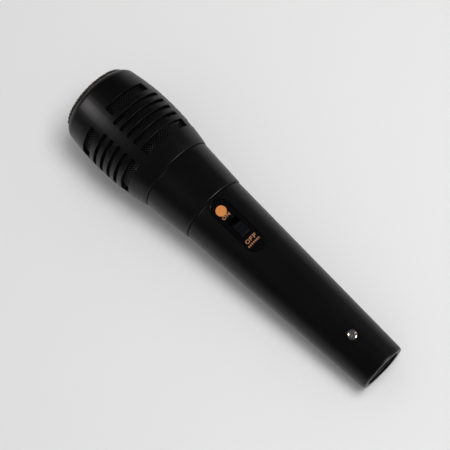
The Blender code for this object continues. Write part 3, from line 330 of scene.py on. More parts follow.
def handle_radius(height):
    share = (height - TAIL_ROUND) / (HANDLE_LENGTH - TAIL_ROUND)
    return TAIL_RADIUS + (MOUTH_RADIUS - TAIL_RADIUS) * share


def barrel_radius(height):
    if height < BARREL_TOP:
        return HEAD_RADIUS - HEAD_SWELL * ((BARREL_TOP - height) / BARREL_HEIGHT) ** 2
    return HEAD_RADIUS - SHOULDER_DROP * ((height - BARREL_TOP) / (SHOULDER_BASE - BARREL_TOP)) ** 2


def rounded(start, end, fullness, steps):
    """A quarter of a superellipse: it leaves start along the axis and reaches end across it."""
    made = []
    for i in range(steps + 1):
        angle = math.pi / 2 * i / steps
        across = abs(math.cos(angle)) ** (2 / fullness)
        along = abs(math.sin(angle)) ** (2 / fullness)
        made.append((end[0] + (start[0] - end[0]) * across, start[1] + (end[1] - start[1]) * along))
    return made


def evenly(start, end, step):
    """Heights from start to end, about a step apart."""
    count = max(1, round((end - start) / step))
    return [start + (end - start) * i / count for i in range(count + 1)]


# Flat outlines wrapped on the handle

def stadium(length, width, steps=24):
    straight = (length - width) / 2
    points = []
    for side in (1, -1):
        for i in range(steps + 1):
            angle = math.pi * i / steps + (0 if side > 0 else math.pi)
            points.append((math.cos(angle) * width / 2, side * straight + math.sin(angle) * width / 2))
    return points


def soft_rectangle(width, length, corner, steps=6):
    points = []
    for quarter, (sx, sy) in enumerate(((1, 1), (-1, 1), (-1, -1), (1, -1))):
        for i in range(steps + 1):
            angle = math.pi / 2 * (quarter + i / steps)
            points.append((sx * (width / 2 - corner) + corner * math.cos(angle),
                           sy * (length / 2 - corner) + corner * math.sin(angle)))
    return points


def on_handle(name, outlines, thickness, lift, at, edge=0.0, grid=0.8 * MM):
    """A plate with its outlines in (across, along), wrapped on the handle's surface.

    Its top lies lift above the surface, and its upper and lower edges are rounded by edge.
    The flat outline is filled in millimetres, because the fill loses points that are nearly one.
    """
    curve = bpy.data.curves.new(name, "CURVE")
    curve.dimensions = "2D"
    curve.fill_mode = "BOTH"
    curve.extrude = (thickness / 2 - edge) / MM
    curve.bevel_depth = edge / MM
    curve.bevel_resolution = 2
    curve.offset = -edge / MM
    for points in outlines:
        spline = curve.splines.new("POLY")
        spline.points.add(len(points) - 1)
        for control, point in zip(spline.points, points):
            control.co = (point[0] / MM, point[1] / MM, 0, 1)
        spline.use_cyclic_u = True
    flat = bpy.data.objects.new(name, curve)
    bpy.context.scene.collection.objects.link(flat)
    depsgraph = bpy.context.evaluated_depsgraph_get()
    mesh = bpy.data.meshes.new_from_object(flat.evaluated_get(depsgraph))
    bpy.data.objects.remove(flat)
    work = bmesh.new()
    work.from_mesh(mesh)
    bmesh.ops.scale(work, verts=work.verts, vec=(MM, MM, MM))
    bmesh.ops.remove_doubles(work, verts=work.verts, dist=0.002 * MM)
    for axis in (0, 1):
        places = [v.co[axis] for v in work.verts]
        low, high = min(places), max(places)
        step = grid if axis == 0 else 3 * grid
        for place in evenly(low, high, step)[1:-1]:
            normal = Vector((0, 0, 0))
            normal[axis] = 1
            bmesh.ops.bisect_plane(work, geom=work.verts[:] + work.edges[:] + work.faces[:],
                                   dist=1e-7, plane_co=normal * place, plane_no=normal)
    for vert in work.verts:
        across, along, rise = vert.co
        skin = handle_radius(at + along)
        depth = skin + lift - thickness / 2 + rise
        vert.co = (depth * math.cos(math.asin(across / skin)), depth * across / skin, at + along)
    return piece(name, work, 40)


# Handle, collar and head

def make_handle():
    tail = rounded((TAIL_RADIUS, TAIL_ROUND), (TAIL_FACE, 0), 2, 10)
    mouth = HANDLE_LENGTH - MOUTH_DEPTH
    points = [
        (MOUTH_RADIUS, HANDLE_LENGTH, 0.6 * MM), *tail,
        (TAIL_BORE, 0, 0.35 * MM), (TAIL_BORE, LIP_DEPTH), (INSERT_BORE, LIP_DEPTH), (INSERT_BORE, INSERT_END),
        (handle_radius(TAPER_START) - SHELL_WALL, TAPER_START), (handle_radius(mouth) - SHELL_WALL, mouth),
        (MOUTH_BORE, mouth), (MOUTH_BORE, HANDLE_LENGTH),
    ]
    shell = turned("handle_shell", outline(points), 240)
    floor = -PLATE_SINK - PLATE_THICKNESS - PLATE_CLEARANCE
    ends = [PLATE_PLACE - 25 * MM, PLATE_PLACE + 25 * MM]
    recess = turned("recess", [(handle_radius(z) + 6 * MM, z) for z in reversed(ends)]
                    + [(handle_radius(z) + floor, z) for z in ends], 240)
    around = 0.5 * MM
    cut(recess, prism(stadium(PLATE_LENGTH + around, PLATE_WIDTH + around), PLATE_PLACE), operation="INTERSECT")
    slot = block((12 * MM, SLOT_WIDTH, SLOT_LENGTH), (18 * MM, 0, SLOT_PLACE))
    seat = handle_radius(SCREW_PLACE) - SCREW_SINK - GAP
    sink = bar(SCREW_HEAD + GAP, 8 * MM, (seat + 4 * MM, 0, SCREW_PLACE), "X")
    hole = bar(SCREW_SHANK + 0.25 * MM, 8 * MM, (seat, 0, SCREW_PLACE), "X")
    cut(shell, recess, slot, sink, hole)
    return set_down(even_shading(shell))


def make_collar():
    slope = (COLLAR_FRONT_RADIUS - COLLAR_REAR_RADIUS) / (COLLAR_FRONT - COLLAR_REAR)
    ledge = COLLAR_FRONT - LEDGE_DEPTH
    spigot = THREAD_RADIUS - 0.35 * MM
    inset = COLLAR_REAR + 5 * MM
    web = ledge - SHELL_WALL
    plug = MOUTH_BORE - GAP
    points = [
        (spigot, THREAD_END, 0.3 * MM), (spigot, COLLAR_FRONT),
        (COLLAR_FRONT_RADIUS, COLLAR_FRONT, 0.45 * MM), (COLLAR_REAR_RADIUS, COLLAR_REAR, 1.0 * MM),
        (plug, COLLAR_REAR), (plug, HANDLE_LENGTH - 6 * MM), (COLLAR_BORE, HANDLE_LENGTH - 6 * MM),
        (COLLAR_BORE, COLLAR_REAR + SHELL_WALL),
        (COLLAR_REAR_RADIUS + slope * 5 * MM - SHELL_WALL, inset),
        (COLLAR_REAR_RADIUS + slope * (web - COLLAR_REAR) - SHELL_WALL, web), (COLLAR_BORE, web),
        (COLLAR_BORE, ledge), (THREAD_BORE, ledge), (THREAD_BORE, THREAD_END, 0.3 * MM),
    ]
    return set_down(even_shading(turned("collar_shell", outline(points), 240)))


def column_middle(column):
    return RIB_ANGLE + (column + 0.5) * 2 * math.pi / COLUMNS


def cage_columns():
    """Angles of the cage's grid over one column, from its middle: close together by the corners."""
    right = []
    for edge in (NARROW, WIDE):
        right += [edge - math.radians(d) for d in (1.5, 0.85, 0.35, 0)]
        right.append(edge + math.radians(0.75))
    right += [math.radians(d) for d in (34.0, 41.5)]
    right += [math.radians(3 * i) for i in range(1, 10)]
    right.sort()
    return [-a for a in reversed(right)] + [0.0] + right + [math.pi / COLUMNS]


def cage_windows():
    """(middle height, height, half span) of each window in a column."""
    rows = [(*REAR_WINDOW, WIDE)]
    rows += [(SLIT_START + i * SLIT_PITCH, SLIT_HEIGHT, WIDE) for i in range(SLITS)]
    rows.append((*FRONT_WINDOW, NARROW))
    return [(HEAD_BASE + z, height, span) for z, height, span in rows]


def cage_rows():
    """Heights of the cage's grid over the windows."""
    heights = []
    for middle, height, _ in cage_windows():
        for side in (-1, 1):
            edge = middle + side * height / 2
            heights += [edge - side * d for d in (0, WINDOW_BEVEL, 0.4 * MM, CORNER, -0.4 * MM)]
        heights.append(middle)
    heights.sort()
    spaced = []
    for low, high in zip(heights, heights[1:]):
        spaced += evenly(low, high, 1.6 * MM)[:-1]
    return spaced + [heights[-1]]


def make_cage():
    """Barrel with its windows: an outer and an inner skin on one grid, joined round each window."""
    rows = cage_rows()
    shoulder = rounded((HEAD_RADIUS - SHOULDER_DROP, SHOULDER_BASE), (FRONT_RADIUS, HEAD_FRONT), 1.8, 14)
    pocket = OPENING_RADIUS + 2.1 * MM
    base = [(barrel_radius(HEAD_BASE) - BASE_ROUND * (1 - math.sin(a)), HEAD_BASE + BASE_ROUND * (1 - math.cos(a)))
            for a in (math.pi / 2 * i / 6 for i in range(7))]
    base += [(barrel_radius(z), z) for z in evenly(HEAD_BASE + 1.5 * MM, rows[0], 2 * MM)[:-1]]
    front = [(barrel_radius(z), z) for z in evenly(rows[-1], SHOULDER_BASE, 1.5 * MM)[1:-1]] + shoulder
    front += [(OPENING_RADIUS + 0.15 * MM, HEAD_FRONT - 0.04 * MM), (OPENING_RADIUS, HEAD_FRONT - 0.25 * MM),
              (OPENING_RADIUS, LIP_BACK), (pocket, LIP_BACK)]
    inner = [(barrel_radius(z) - CAGE_WALL, z) for z in reversed(evenly(rows[-1], CLAMP_BACK, 3 * MM)[1:])]
    socket = [(barrel_radius(z) - CAGE_WALL, z) for z in reversed(evenly(CAGE_STEP, rows[0], 2 * MM)[:-1])]
    socket += [(CAGE_BORE, CAGE_STEP), (CAGE_BORE, HEAD_BASE + 0.4 * MM), (CAGE_BORE + 0.3 * MM, HEAD_BASE)]
    profile = base + [(barrel_radius(z), z) for z in rows] + front + inner
    profile += [(barrel_radius(z) - CAGE_WALL, z) for z in reversed(rows)] + socket
    outer_row = len(base)
    inner_row = len(base) + 2 * len(rows) + len(front) + len(inner) - 1

    columns = cage_columns()
    work = bmesh.new()
    weight = work.edges.layers.float.new("bevel_weight_edge")
    angles = [column_middle(c) + a for c in range(COLUMNS) for a in columns]
    around = len(angles)
    grid = [[work.verts.new((r * math.cos(a), r * math.sin(a), z)) for a in angles] for r, z in profile]

    open_cells = set()
    walls = []
    for column in range(COLUMNS):
        middle = column_middle(column)
        for height, tall, span in cage_windows():
            first = column * len(columns) + min(i for i, a in enumerate(columns) if a > -span - 1e-6)
            last = column * len(columns) + max(i for i, a in enumerate(columns) if a < span + 1e-6)
            low = min(k for k, z in enumerate(rows) if z > height - tall / 2 - 1e-8)
            high = max(k for k, z in enumerate(rows) if z < height + tall / 2 + 1e-8)
            open_cells |= {(k, j) for k in range(low, high) for j in range(first, last)}
            walls += [((k, j), (k, j + 1)) for k in (low, high) for j in range(first, last)]
            walls += [((k, j), (k + 1, j)) for j in (first, last) for k in range(low, high)]
            for k in range(low, high + 1):
                for j in range(first, last + 1):
                    if k not in (low, high) and j not in (first, last):
                        continue
                    mean = barrel_radius(height)
                    across = (angles[j] - middle) * mean
                    along = rows[k] - height
                    dx = abs(across) - (span * mean - CORNER)
                    dz = abs(along) - (tall / 2 - CORNER)
                    if dx > 0 and dz > 0:
                        pull = CORNER / math.hypot(dx, dz)
                        across = math.copysign(abs(across) - dx + dx * pull, across)
                        along = math.copysign(abs(along) - dz + dz * pull, along)
                    for index, inset in ((outer_row + k, 0), (inner_row - k, CAGE_WALL)):
                        r = barrel_radius(height + along) - inset
                        a = middle + across / mean
                        grid[index][j].co = (r * math.cos(a), r * math.sin(a), height + along)

    for i in range(len(profile)):
        following = (i + 1) % len(profile)
        for j in range(around):
            if outer_row <= i < outer_row + len(rows) - 1 and (i - outer_row, j) in open_cells:
                continue
            if inner_row - len(rows) + 1 <= i < inner_row and (inner_row - i - 1, j) in open_cells:
                continue
            n = (j + 1) % around
            work.faces.new((grid[i][j], grid[i][n], grid[following][n], grid[following][j]))
    for (k, j), (m, n) in walls:
        outer = grid[outer_row + k][j], grid[outer_row + m][n]
        inner_pair = grid[inner_row - k][j], grid[inner_row - m][n]
        work.faces.new((outer[0], outer[1], inner_pair[1], inner_pair[0]))
        work.edges.get(outer)[weight] = 1.0
    for vert in list(work.verts):
        if not vert.link_faces:
            work.verts.remove(vert)
    cage = piece("head_shell", work)
    bevel = cage.modifiers.new("rounded_windows", "BEVEL")
    bevel.limit_method = "WEIGHT"
    bevel.width = WINDOW_BEVEL
    bevel.segments = 3
    return set_down(even_shading(cage))


# Woven wire

def join(tree, *links):
    """Links nodes: each link is a node, its output, another node and its input."""
    for source, out, target, into in links:
        tree.links.new(source.outputs[out], target.inputs[into])


def wire_tree():
    """Gives lines the thickness of drawn wire."""
    tree = bpy.data.node_groups.new("drawn wire", "GeometryNodeTree")
    for title, way, kind in (("Lines", "INPUT", "Geometry"), ("Wire radius", "INPUT", "Float"),
                             ("Sides", "INPUT", "Int"), ("Finish", "INPUT", "Material"),
                             ("Wire", "OUTPUT", "Geometry")):
        tree.interface.new_socket(title, in_out=way, socket_type="NodeSocket" + kind)
    entry, lines, section, sweep, smooth, real, material, leave = (tree.nodes.new(kind) for kind in (
        "NodeGroupInput", "GeometryNodeMeshToCurve", "GeometryNodeCurvePrimitiveCircle",
        "GeometryNodeCurveToMesh", "GeometryNodeSetShadeSmooth", "GeometryNodeRealizeInstances",
        "GeometryNodeSetMaterial", "NodeGroupOutput"))
    sweep.inputs["Fill Caps"].default_value = True
    join(tree, (entry, "Lines", lines, "Mesh"), (entry, "Wire radius", section, "Radius"),
         (entry, "Sides", section, "Resolution"), (lines, "Curve", sweep, "Curve"),
         (section, "Curve", sweep, "Profile Curve"), (sweep, "Mesh", smooth, "Geometry"),
         (smooth, "Geometry", real, "Geometry"), (real, "Geometry", material, "Geometry"),
         (entry, "Finish", material, "Material"), (material, "Geometry", leave, "Wire"))
    return tree


def wires(name, lines, radius, sides, look):
    """A piece of drawn wire along lines, each a list of points and whether it closes."""
    points = []
    edges = []
    for line, closes in lines:
        first = len(points)
        points += line
        edges += [(first + i, first + i + 1) for i in range(len(line) - 1)]
        if closes:
            edges.append((len(points) - 1, first))
    mesh = bpy.data.meshes.new(name)
    mesh.from_pydata(points, edges, [])
    made = bpy.data.objects.new(name, mesh)
    bpy.context.scene.collection.objects.link(made)
    modifier = made.modifiers.new("drawn wire", "NODES")
    modifier.node_group = WIRE_TREE
    values = {"Wire radius": radius, "Sides": sides, "Finish": look}
    for socket in WIRE_TREE.interface.items_tree:
        if socket.name in values:
            modifier[socket.identifier] = values[socket.name]
    return set_down(made)


def make_side_mesh(look):
    """Plain weave round the barrel whose wires climb it at 45 degrees, both ways round."""
    low = CAGE_STEP + 2 * GAP + WIRE_RADIUS
    high = CLAMP_BACK - GAP - WIRE_RADIUS
    mean = MESH_MIDDLE
    count = round(2 * math.pi * mean * math.cos(math.pi / 4) / WIRE_PITCH)
    crossings = evenly(low, high, math.pi * mean / count)
    lines = []
    for way in (1, -1):
        for i in range(count):
            line = []
            for n, height in enumerate(crossings):
                wave = way * (WIRE_WAVE if n % 2 else -WIRE_WAVE)
                r = barrel_radius(height) - CAGE_WALL - GAP - MESH_WALL / 2 + wave
                angle = math.pi * (2 * i + way * n) / count
                line.append((r * math.cos(angle), r * math.sin(angle), height))
            lines.append((line, False))
    return wires("side_mesh_wires", lines, WIRE_RADIUS, 5, look)


def make_front_mesh(look):
    """Plain weave drawn into a shallow cup over the front opening."""
    rim = OPENING_RADIUS - 0.1 * MM - MESH_WALL / 2
    top = DOME_FOOT + DOME_HEIGHT - FRONT_WAVE - FRONT_WIRE
    bulge = rim + DOME_BULGE
    profile = [(rim, LIP_BACK - GAP - MESH_WALL / 2), (rim, HEAD_FRONT - 0.3 * MM)]
    profile += rounded((bulge, HEAD_FRONT + 0.6 * MM), (0, top), DOME_FULLNESS, 60)
    profile.reverse()
    lengths = [0.0]
    for a, b in zip(profile, profile[1:]):
        lengths.append(lengths[-1] + math.dist(a, b))
    reach = lengths[-1]

    def on_cup(u, v, wave):
        run = min(math.hypot(u, v), reach - 1e-7)
        k = next(i for i in range(len(lengths) - 1) if lengths[i + 1] >= run)
        share = (run - lengths[k]) / (lengths[k + 1] - lengths[k])
        a, b = Vector(profile[k]), Vector(profile[k + 1])
        spot = a.lerp(b, share)
        out = (b - a).normalized()
        spot += Vector((-out.y, out.x)) * wave
        bearing = math.atan2(v, u)
        return (spot.x * math.cos(bearing), spot.x * math.sin(bearing), spot.y)

    lines = []
    across = int(reach / FRONT_PITCH)
    for along_u in (True, False):
        for i in range(-across, across + 1):
            side = (i + 0.5) * FRONT_PITCH
            if abs(side) > reach - FRONT_PITCH:
                continue
            half = math.sqrt(reach ** 2 - side ** 2)
            steps = int(half / (FRONT_PITCH / 2))
            line = []
            for n in range(-steps, steps + 1):
                place = n * FRONT_PITCH / 2
                odd = (i + (n - 1) // 2) % 2
                wave = 0 if n % 2 == 0 else (FRONT_WAVE if odd else -FRONT_WAVE)
                if not along_u:
                    wave = -wave
                u, v = (place, side) if along_u else (side, place)
                line.append(on_cup(u, v, wave))
            lines.append((line, False))
    return wires("front_mesh_wires", lines, FRONT_WIRE, 6, look)


def make_mesh_rim():
    """Pressed rim that holds the front mesh's wires behind the cage's lip."""
    flange = OPENING_RADIUS + FLANGE_WIDTH
    front = LIP_BACK - GAP
    points = [
        (OPENING_RADIUS - GAP, front + 0.9 * MM, 0.2 * MM), (OPENING_RADIUS - GAP, front),
        (flange, front, 0.2 * MM), (flange, front - MESH_WALL, 0.2 * MM),
        (OPENING_RADIUS - GAP - MESH_WALL, front - MESH_WALL, 0.2 * MM),
        (OPENING_RADIUS - GAP - MESH_WALL, front + 0.9 * MM, 0.2 * MM),
    ]
    return set_down(even_shading(turned("front_mesh_rim", outline(points, 3), 160)))


def make_foam():
    """Cup of open-cell foam, a little uneven, that lines the meshes."""
    inset = CAGE_WALL + 2 * GAP + MESH_WALL
    back = CAGE_STEP + 2 * GAP + HEAD_RISE
    end = CLAMP_BACK - 2 * GAP
    neck = OPENING_RADIUS + FLANGE_WIDTH - CLAMP_WIDTH - GAP
    cover = 2 * (FRONT_WAVE + FRONT_WIRE) + GAP
    radius = OPENING_RADIUS - GAP
    foot = DOME_FOOT
    top = DOME_FOOT + DOME_HEIGHT
    outside = [(min(barrel_radius(z), barrel_radius(z - HEAD_RISE)) - inset, z)
               for z in evenly(back, end, 1.5 * MM)]
    inside = [(r - FOAM_WALL, z) for r, z in outside if z < end - FOAM_WALL]
    over = rounded((radius - cover, foot), (0, top - cover), FOAM_FULLNESS, 16)
    under = rounded((radius - cover - FOAM_WALL, foot), (0, top - cover - FOAM_WALL), FOAM_FULLNESS, 16)
    profile = [*reversed(over)]
    profile += [(min(neck, radius - cover), z) for z in reversed(evenly(end + 0.5 * MM, foot - 1 * MM, 1.5 * MM))]
    profile += [*reversed(outside), *inside]
    profile += [(neck - FOAM_WALL, end - 1 * MM)] + under
    work = turned("foam_cup", profile, 150)
    return set_down(work)


# Switch and print

def letter_o(width, height, stroke):
    outer = soft_rectangle(width, height, 0.42 * width)
    inner = soft_rectangle(width - 2 * stroke, height - 2 * stroke, 0.36 * (width - 2 * stroke))
    return [outer, inner]


def letter_n(width, height, stroke):
    w, h, s = width / 2, height / 2, stroke
    return [[(-w, -h), (-w + s, -h), (-w + s, h - 1.6 * s), (w - s, -h), (w, -h), (w, h), (w - s, h),
             (w - s, -h + 1.6 * s), (-w + s, h), (-w, h)]]


def letter_f(width, height, stroke):
    w, h, s = width / 2, height / 2, stroke
    return [[(-w, -h), (-w + s, -h), (-w + s, -s * 0.55), (w - 0.4 * s, -s * 0.55), (w - 0.4 * s, s * 0.45),
             (-w + s, s * 0.45), (-w + s, h - s), (w, h - s), (w, h), (-w, h)]]


def word(letters, height, stroke, spacing, centre):
    """Outlines of letters side by side across the plate, their tops towards the head."""
    total = sum(w for _, w in letters) + spacing * (len(letters) - 1)
    place = centre - total / 2
    outlines = []
    for draw, width in letters:
        for points in draw(width, height, stroke):
            outlines.append([(x + place + width / 2, y) for x, y in points])
        place += width + spacing
    return outlines


def make_prints():
    """Orange printing: a dot, the switch's two positions, and a row of plain marks in place of words."""
    disc = [(3.15 * MM * math.cos(a) - 0.6 * MM, 3.15 * MM * math.sin(a)) for a in
            (2 * math.pi * i / 48 for i in range(48))]
    on = word([(letter_o, 2.35 * MM), (letter_n, 2.3 * MM)], 2.0 * MM, 0.44 * MM, 0.55 * MM, -0.75 * MM)
    off = word([(letter_o, 2.6 * MM), (letter_f, 2.0 * MM), (letter_f, 2.0 * MM)], 2.3 * MM, 0.46 * MM,
               0.5 * MM, -0.3 * MM)
    marks = []
    half = MARK_HEIGHT / 2
    for i in range(MARK_COUNT):
        left = MARKS_START + MARK_PITCH * i
        right = left + MARK_WIDTH
        marks.append([(left, -half), (right, -half), (right, half), (left, half)])
    printed = (("print_dot", [disc], 121.9 * MM), ("print_on", on, 117.9 * MM),
               ("print_off", off, 99.3 * MM), ("print_marks", marks, 96.7 * MM))
    made = [on_handle(name, outlines, 0.04 * MM, 0.02 * MM - PLATE_SINK, at, 0, 0.5 * MM)
            for name, outlines, at in printed]
    return [set_down(one) for one in made]


def make_plate():
    hole = [(x, y + SLOT_PLACE - PLATE_PLACE) for x, y in
            soft_rectangle(SLOT_WIDTH, SLOT_LENGTH, 0.6 * MM)]
    plate = on_handle("plate_face", [stadium(PLATE_LENGTH, PLATE_WIDTH), hole],
                      PLATE_THICKNESS, -PLATE_SINK, PLATE_PLACE, 0.14 * MM)
    return set_down(even_shading(plate))


def make_knob():
    """Slide knob: cross ribs towards the head and a smooth pad towards the tail."""
    top = handle_radius(SLOT_PLACE) + KNOB_RISE
    foot = KNOB_FOOT
    width = SLOT_WIDTH - 0.6 * MM
    end = KNOB_LENGTH / 2
    profile = [(-end, foot), (-end, top, 0.3 * MM)]
    for i in range(GROOVES):
        middle = end - (GROOVES - i) * GROOVE_PITCH
        bottom = top - GROOVE_DEPTH
        profile += [(middle - 0.36 * MM, top, 0.15 * MM), (middle - 0.24 * MM, bottom, 0.06 * MM),
                    (middle + 0.24 * MM, bottom, 0.06 * MM), (middle + 0.36 * MM, top, 0.15 * MM)]
    profile += [(end, top, 0.3 * MM), (end, foot)]
    side = outline(profile, 3)
    work = bmesh.new()
    near = [work.verts.new((x, -width / 2, KNOB_PLACE + z)) for z, x in side]
    far = [work.verts.new((x, width / 2, KNOB_PLACE + z)) for z, x in side]
    for i in range(len(side)):
        j = (i + 1) % len(side)
        work.faces.new((near[i], near[j], far[j], far[i]))
    work.faces.new(near)
    work.faces.new(list(reversed(far)))
    knob = piece("knob_face", work, 40)
    bevel = knob.modifiers.new("soft_sides", "BEVEL")
    bevel.width = 0.12 * MM
    bevel.segments = 2
    bevel.limit_method = "ANGLE"
    bevel.angle_limit = math.radians(60)
    return set_down(even_shading(knob))


# Tail

def make_screw():
    """Pan-head screw with a cross recess whose arms narrow as they deepen."""
    seat = handle_radius(SCREW_PLACE) - SCREW_SINK
    points = [(0, SCREW_RISE)]
    points += [(SCREW_HEAD * math.sin(a), SCREW_RISE - 1.5 * MM * (1 - math.cos(a))) for a in
               (math.radians(6 * i) for i in range(1, 12))]
    points += [(SCREW_HEAD, 0.25 * MM), (SCREW_HEAD - 0.15 * MM, 0), (SCREW_SHANK, 0), (SCREW_SHANK, -7 * MM),
               (0, -8.4 * MM)]
    screw = turned("tail_screw_head", points, 96)
    arms = []
    for turn in (0, math.pi / 2):
        work = bmesh.new()
        bmesh.ops.create_cube(work, size=1)
        for vert in work.verts:
            deep = vert.co.z < 0
            vert.co = Vector((vert.co.x * (2.2 if deep else 4.5) * MM, vert.co.y * (0.8 if deep else 1.35) * MM,
                              (-0.6 if deep else 2.0) * MM))
        work.transform(Matrix.Rotation(turn + math.radians(27), 4, "Z"))
        arms.append(piece("arm", work))
    cut(screw, *arms)
    screw.data.transform(Matrix.Translation((seat, 0, SCREW_PLACE)) @ Matrix.Rotation(math.pi / 2, 4, "Y"))
    return set_down(even_shading(screw))


def make_insert():
    """Three-pin socket's body: a cup with a thin rim and a septum that carries the pins."""
    radius, step, rim = INSERT_BORE - GAP, LIP_DEPTH + GAP, TAIL_BORE - GAP
    points = [
        (radius, INSERT_BACK), (radius, step), (rim, step), (rim, RIM_DEPTH, 0.25 * MM),
        (CAVITY_RADIUS, RIM_DEPTH, 0.3 * MM), (CAVITY_RADIUS, CAVITY_DEPTH, 0.4 * MM),
        (BOSS_RADIUS, CAVITY_DEPTH, 0.2 * MM), (BOSS_RADIUS, BOSS_FACE, 0.3 * MM), (0, BOSS_FACE),
        (0, SEPTUM_BACK), (INSERT_INNER, SEPTUM_BACK), (INSERT_INNER, INSERT_BACK),
    ]
    insert = turned("socket_body", outline(points), 160)
    key = block((1.8 * MM, 2.4 * MM, 25 * MM), (CAVITY_RADIUS, 0, RIM_DEPTH))
    cut(insert, key, bar(SCREW_SHANK + GAP, 12 * MM, (12 * MM, 0, SCREW_PLACE), "X"))
    return set_down(even_shading(insert))


def make_pin(number):
    angle = math.pi / 3 + 2 * math.pi * (number - 1) / 3
    points = [(0, PIN_BACK), (PIN_RADIUS, PIN_BACK)]
    points += rounded((PIN_RADIUS, PIN_TIP + 1.1 * MM), (0, PIN_TIP), 2.2, 8)
    pin = turned(f"socket_pin_{number}", points, 40)
    pin.data.transform(Matrix.Translation((PIN_CIRCLE * math.cos(angle), PIN_CIRCLE * math.sin(angle), 0)))
    return set_down(pin)


# Capsule and neck, seen when the head is off

def make_capsule():
    front = CAPSULE_FRONT + 3.5 * MM
    skirt = 12.4 * MM
    cap = turned("capsule_grille", outline([
        (0, front), (CAPSULE_RADIUS, front, 1.2 * MM), (CAPSULE_RADIUS, CAPSULE_FRONT + GAP, 0.15 * MM),
        (skirt, CAPSULE_FRONT + GAP), (skirt, front - 1.4 * MM), (0, front - 1.4 * MM),
    ]), 120)
    holes = [bar(1.8 * MM, 8 * MM, (0, 0, front), steps=24)]
    for count, circle, radius in ((6, 5.45 * MM, 1.5 * MM), (10, 9.4 * MM, 1.3 * MM)):
        for i in range(count):
            angle = 2 * math.pi * i / count
            holes.append(bar(radius, 8 * MM, (circle * math.cos(angle), circle * math.sin(angle), front), steps=24))
    cut(cap, *holes)
    housing = turned("capsule_can", outline([
        (CAPSULE_RADIUS, CAPSULE_FRONT, 0.2 * MM), (CAPSULE_RADIUS, CAPSULE_BACK, 0.4 * MM),
        (4 * MM, CAPSULE_BACK), (4 * MM, CAPSULE_BACK + 1.5 * MM), (12 * MM, CAPSULE_BACK + 1.5 * MM),
        (12 * MM, CAPSULE_BACK + 6.5 * MM), (14 * MM, CAPSULE_BACK + 6.5 * MM), (14 * MM, CAPSULE_FRONT),
    ]), 120)
    mount_front = THREAD_END - 1.3 * MM
    mount = turned("rubber_mount", outline([
        (MOUNT_RADIUS, mount_front, 0.3 * MM), (MOUNT_RADIUS, CAPSULE_BACK - 5.7 * MM, 0.3 * MM),
        (13.3 * MM, CAPSULE_BACK - 5.7 * MM, 0.5 * MM), (13.3 * MM, CAPSULE_BACK - 0.3 * MM, 0.5 * MM),
        (15.8 * MM, CAPSULE_BACK - 0.3 * MM), (15.8 * MM, mount_front, 0.3 * MM),
    ]), 120)
    lock = turned("mount_lock_ring", outline([
        (MOUNT_RADIUS, mount_front + 2.3 * MM, 0.4 * MM), (MOUNT_RADIUS, mount_front + 0.3 * MM, 0.2 * MM),
        (15.8 * MM, mount_front + 0.3 * MM, 0.2 * MM), (15.8 * MM, mount_front + 2.3 * MM, 0.4 * MM),
    ]), 120)
    notches = [block((4 * MM, 2 * MM, 1.6 * MM), (MOUNT_RADIUS * sx, 0, mount_front + 2.6 * MM)) for sx in (1, -1)]
    cut(lock, *notches)
    return [set_down(even_shading(one)) for one in (cap, housing, mount, lock)]


def make_thread():
    """Helical ridge round the collar's spigot."""
    turns = THREAD_TURNS
    steps = int(96 * turns)
    start = COLLAR_FRONT + 0.9 * MM
    work = bmesh.new()
    sections = []
    for i in range(steps + 1):
        angle = 2 * math.pi * turns * i / steps
        height = start + THREAD_PITCH * turns * i / steps
        fade = min(1.0, i / 14, (steps - i) / 14)
        root = THREAD_RADIUS - THREAD_DEPTH
        crest = root + 0.1 * MM + 0.35 * MM * fade
        ring = []
        for r, rise in ((root, -0.75 * MM), (crest, -0.2 * MM), (crest, 0.2 * MM), (root, 0.75 * MM)):
            ring.append(work.verts.new((r * math.cos(angle), r * math.sin(angle), height + rise)))
        sections.append(ring)
    for a, b in zip(sections, sections[1:]):
        for i in range(4):
            j = (i + 1) % 4
            work.faces.new((a[i], a[j], b[j], b[i]))
    work.faces.new(sections[0])
    work.faces.new(sections[-1][::-1])
    return set_down(piece("collar_thread", work, 30))


# Finishes

def shader_group(name, inputs, outputs):
    group = bpy.data.node_groups.new(name, "ShaderNodeTree")
    for title, kind, value in inputs:
        socket = group.interface.new_socket(title, in_out="INPUT", socket_type=kind)
        socket.default_value = value
    for title, kind in outputs:
        group.interface.new_socket(title, in_out="OUTPUT", socket_type=kind)
    return group, group.nodes.new("NodeGroupInput"), group.nodes.new("NodeGroupOutput")


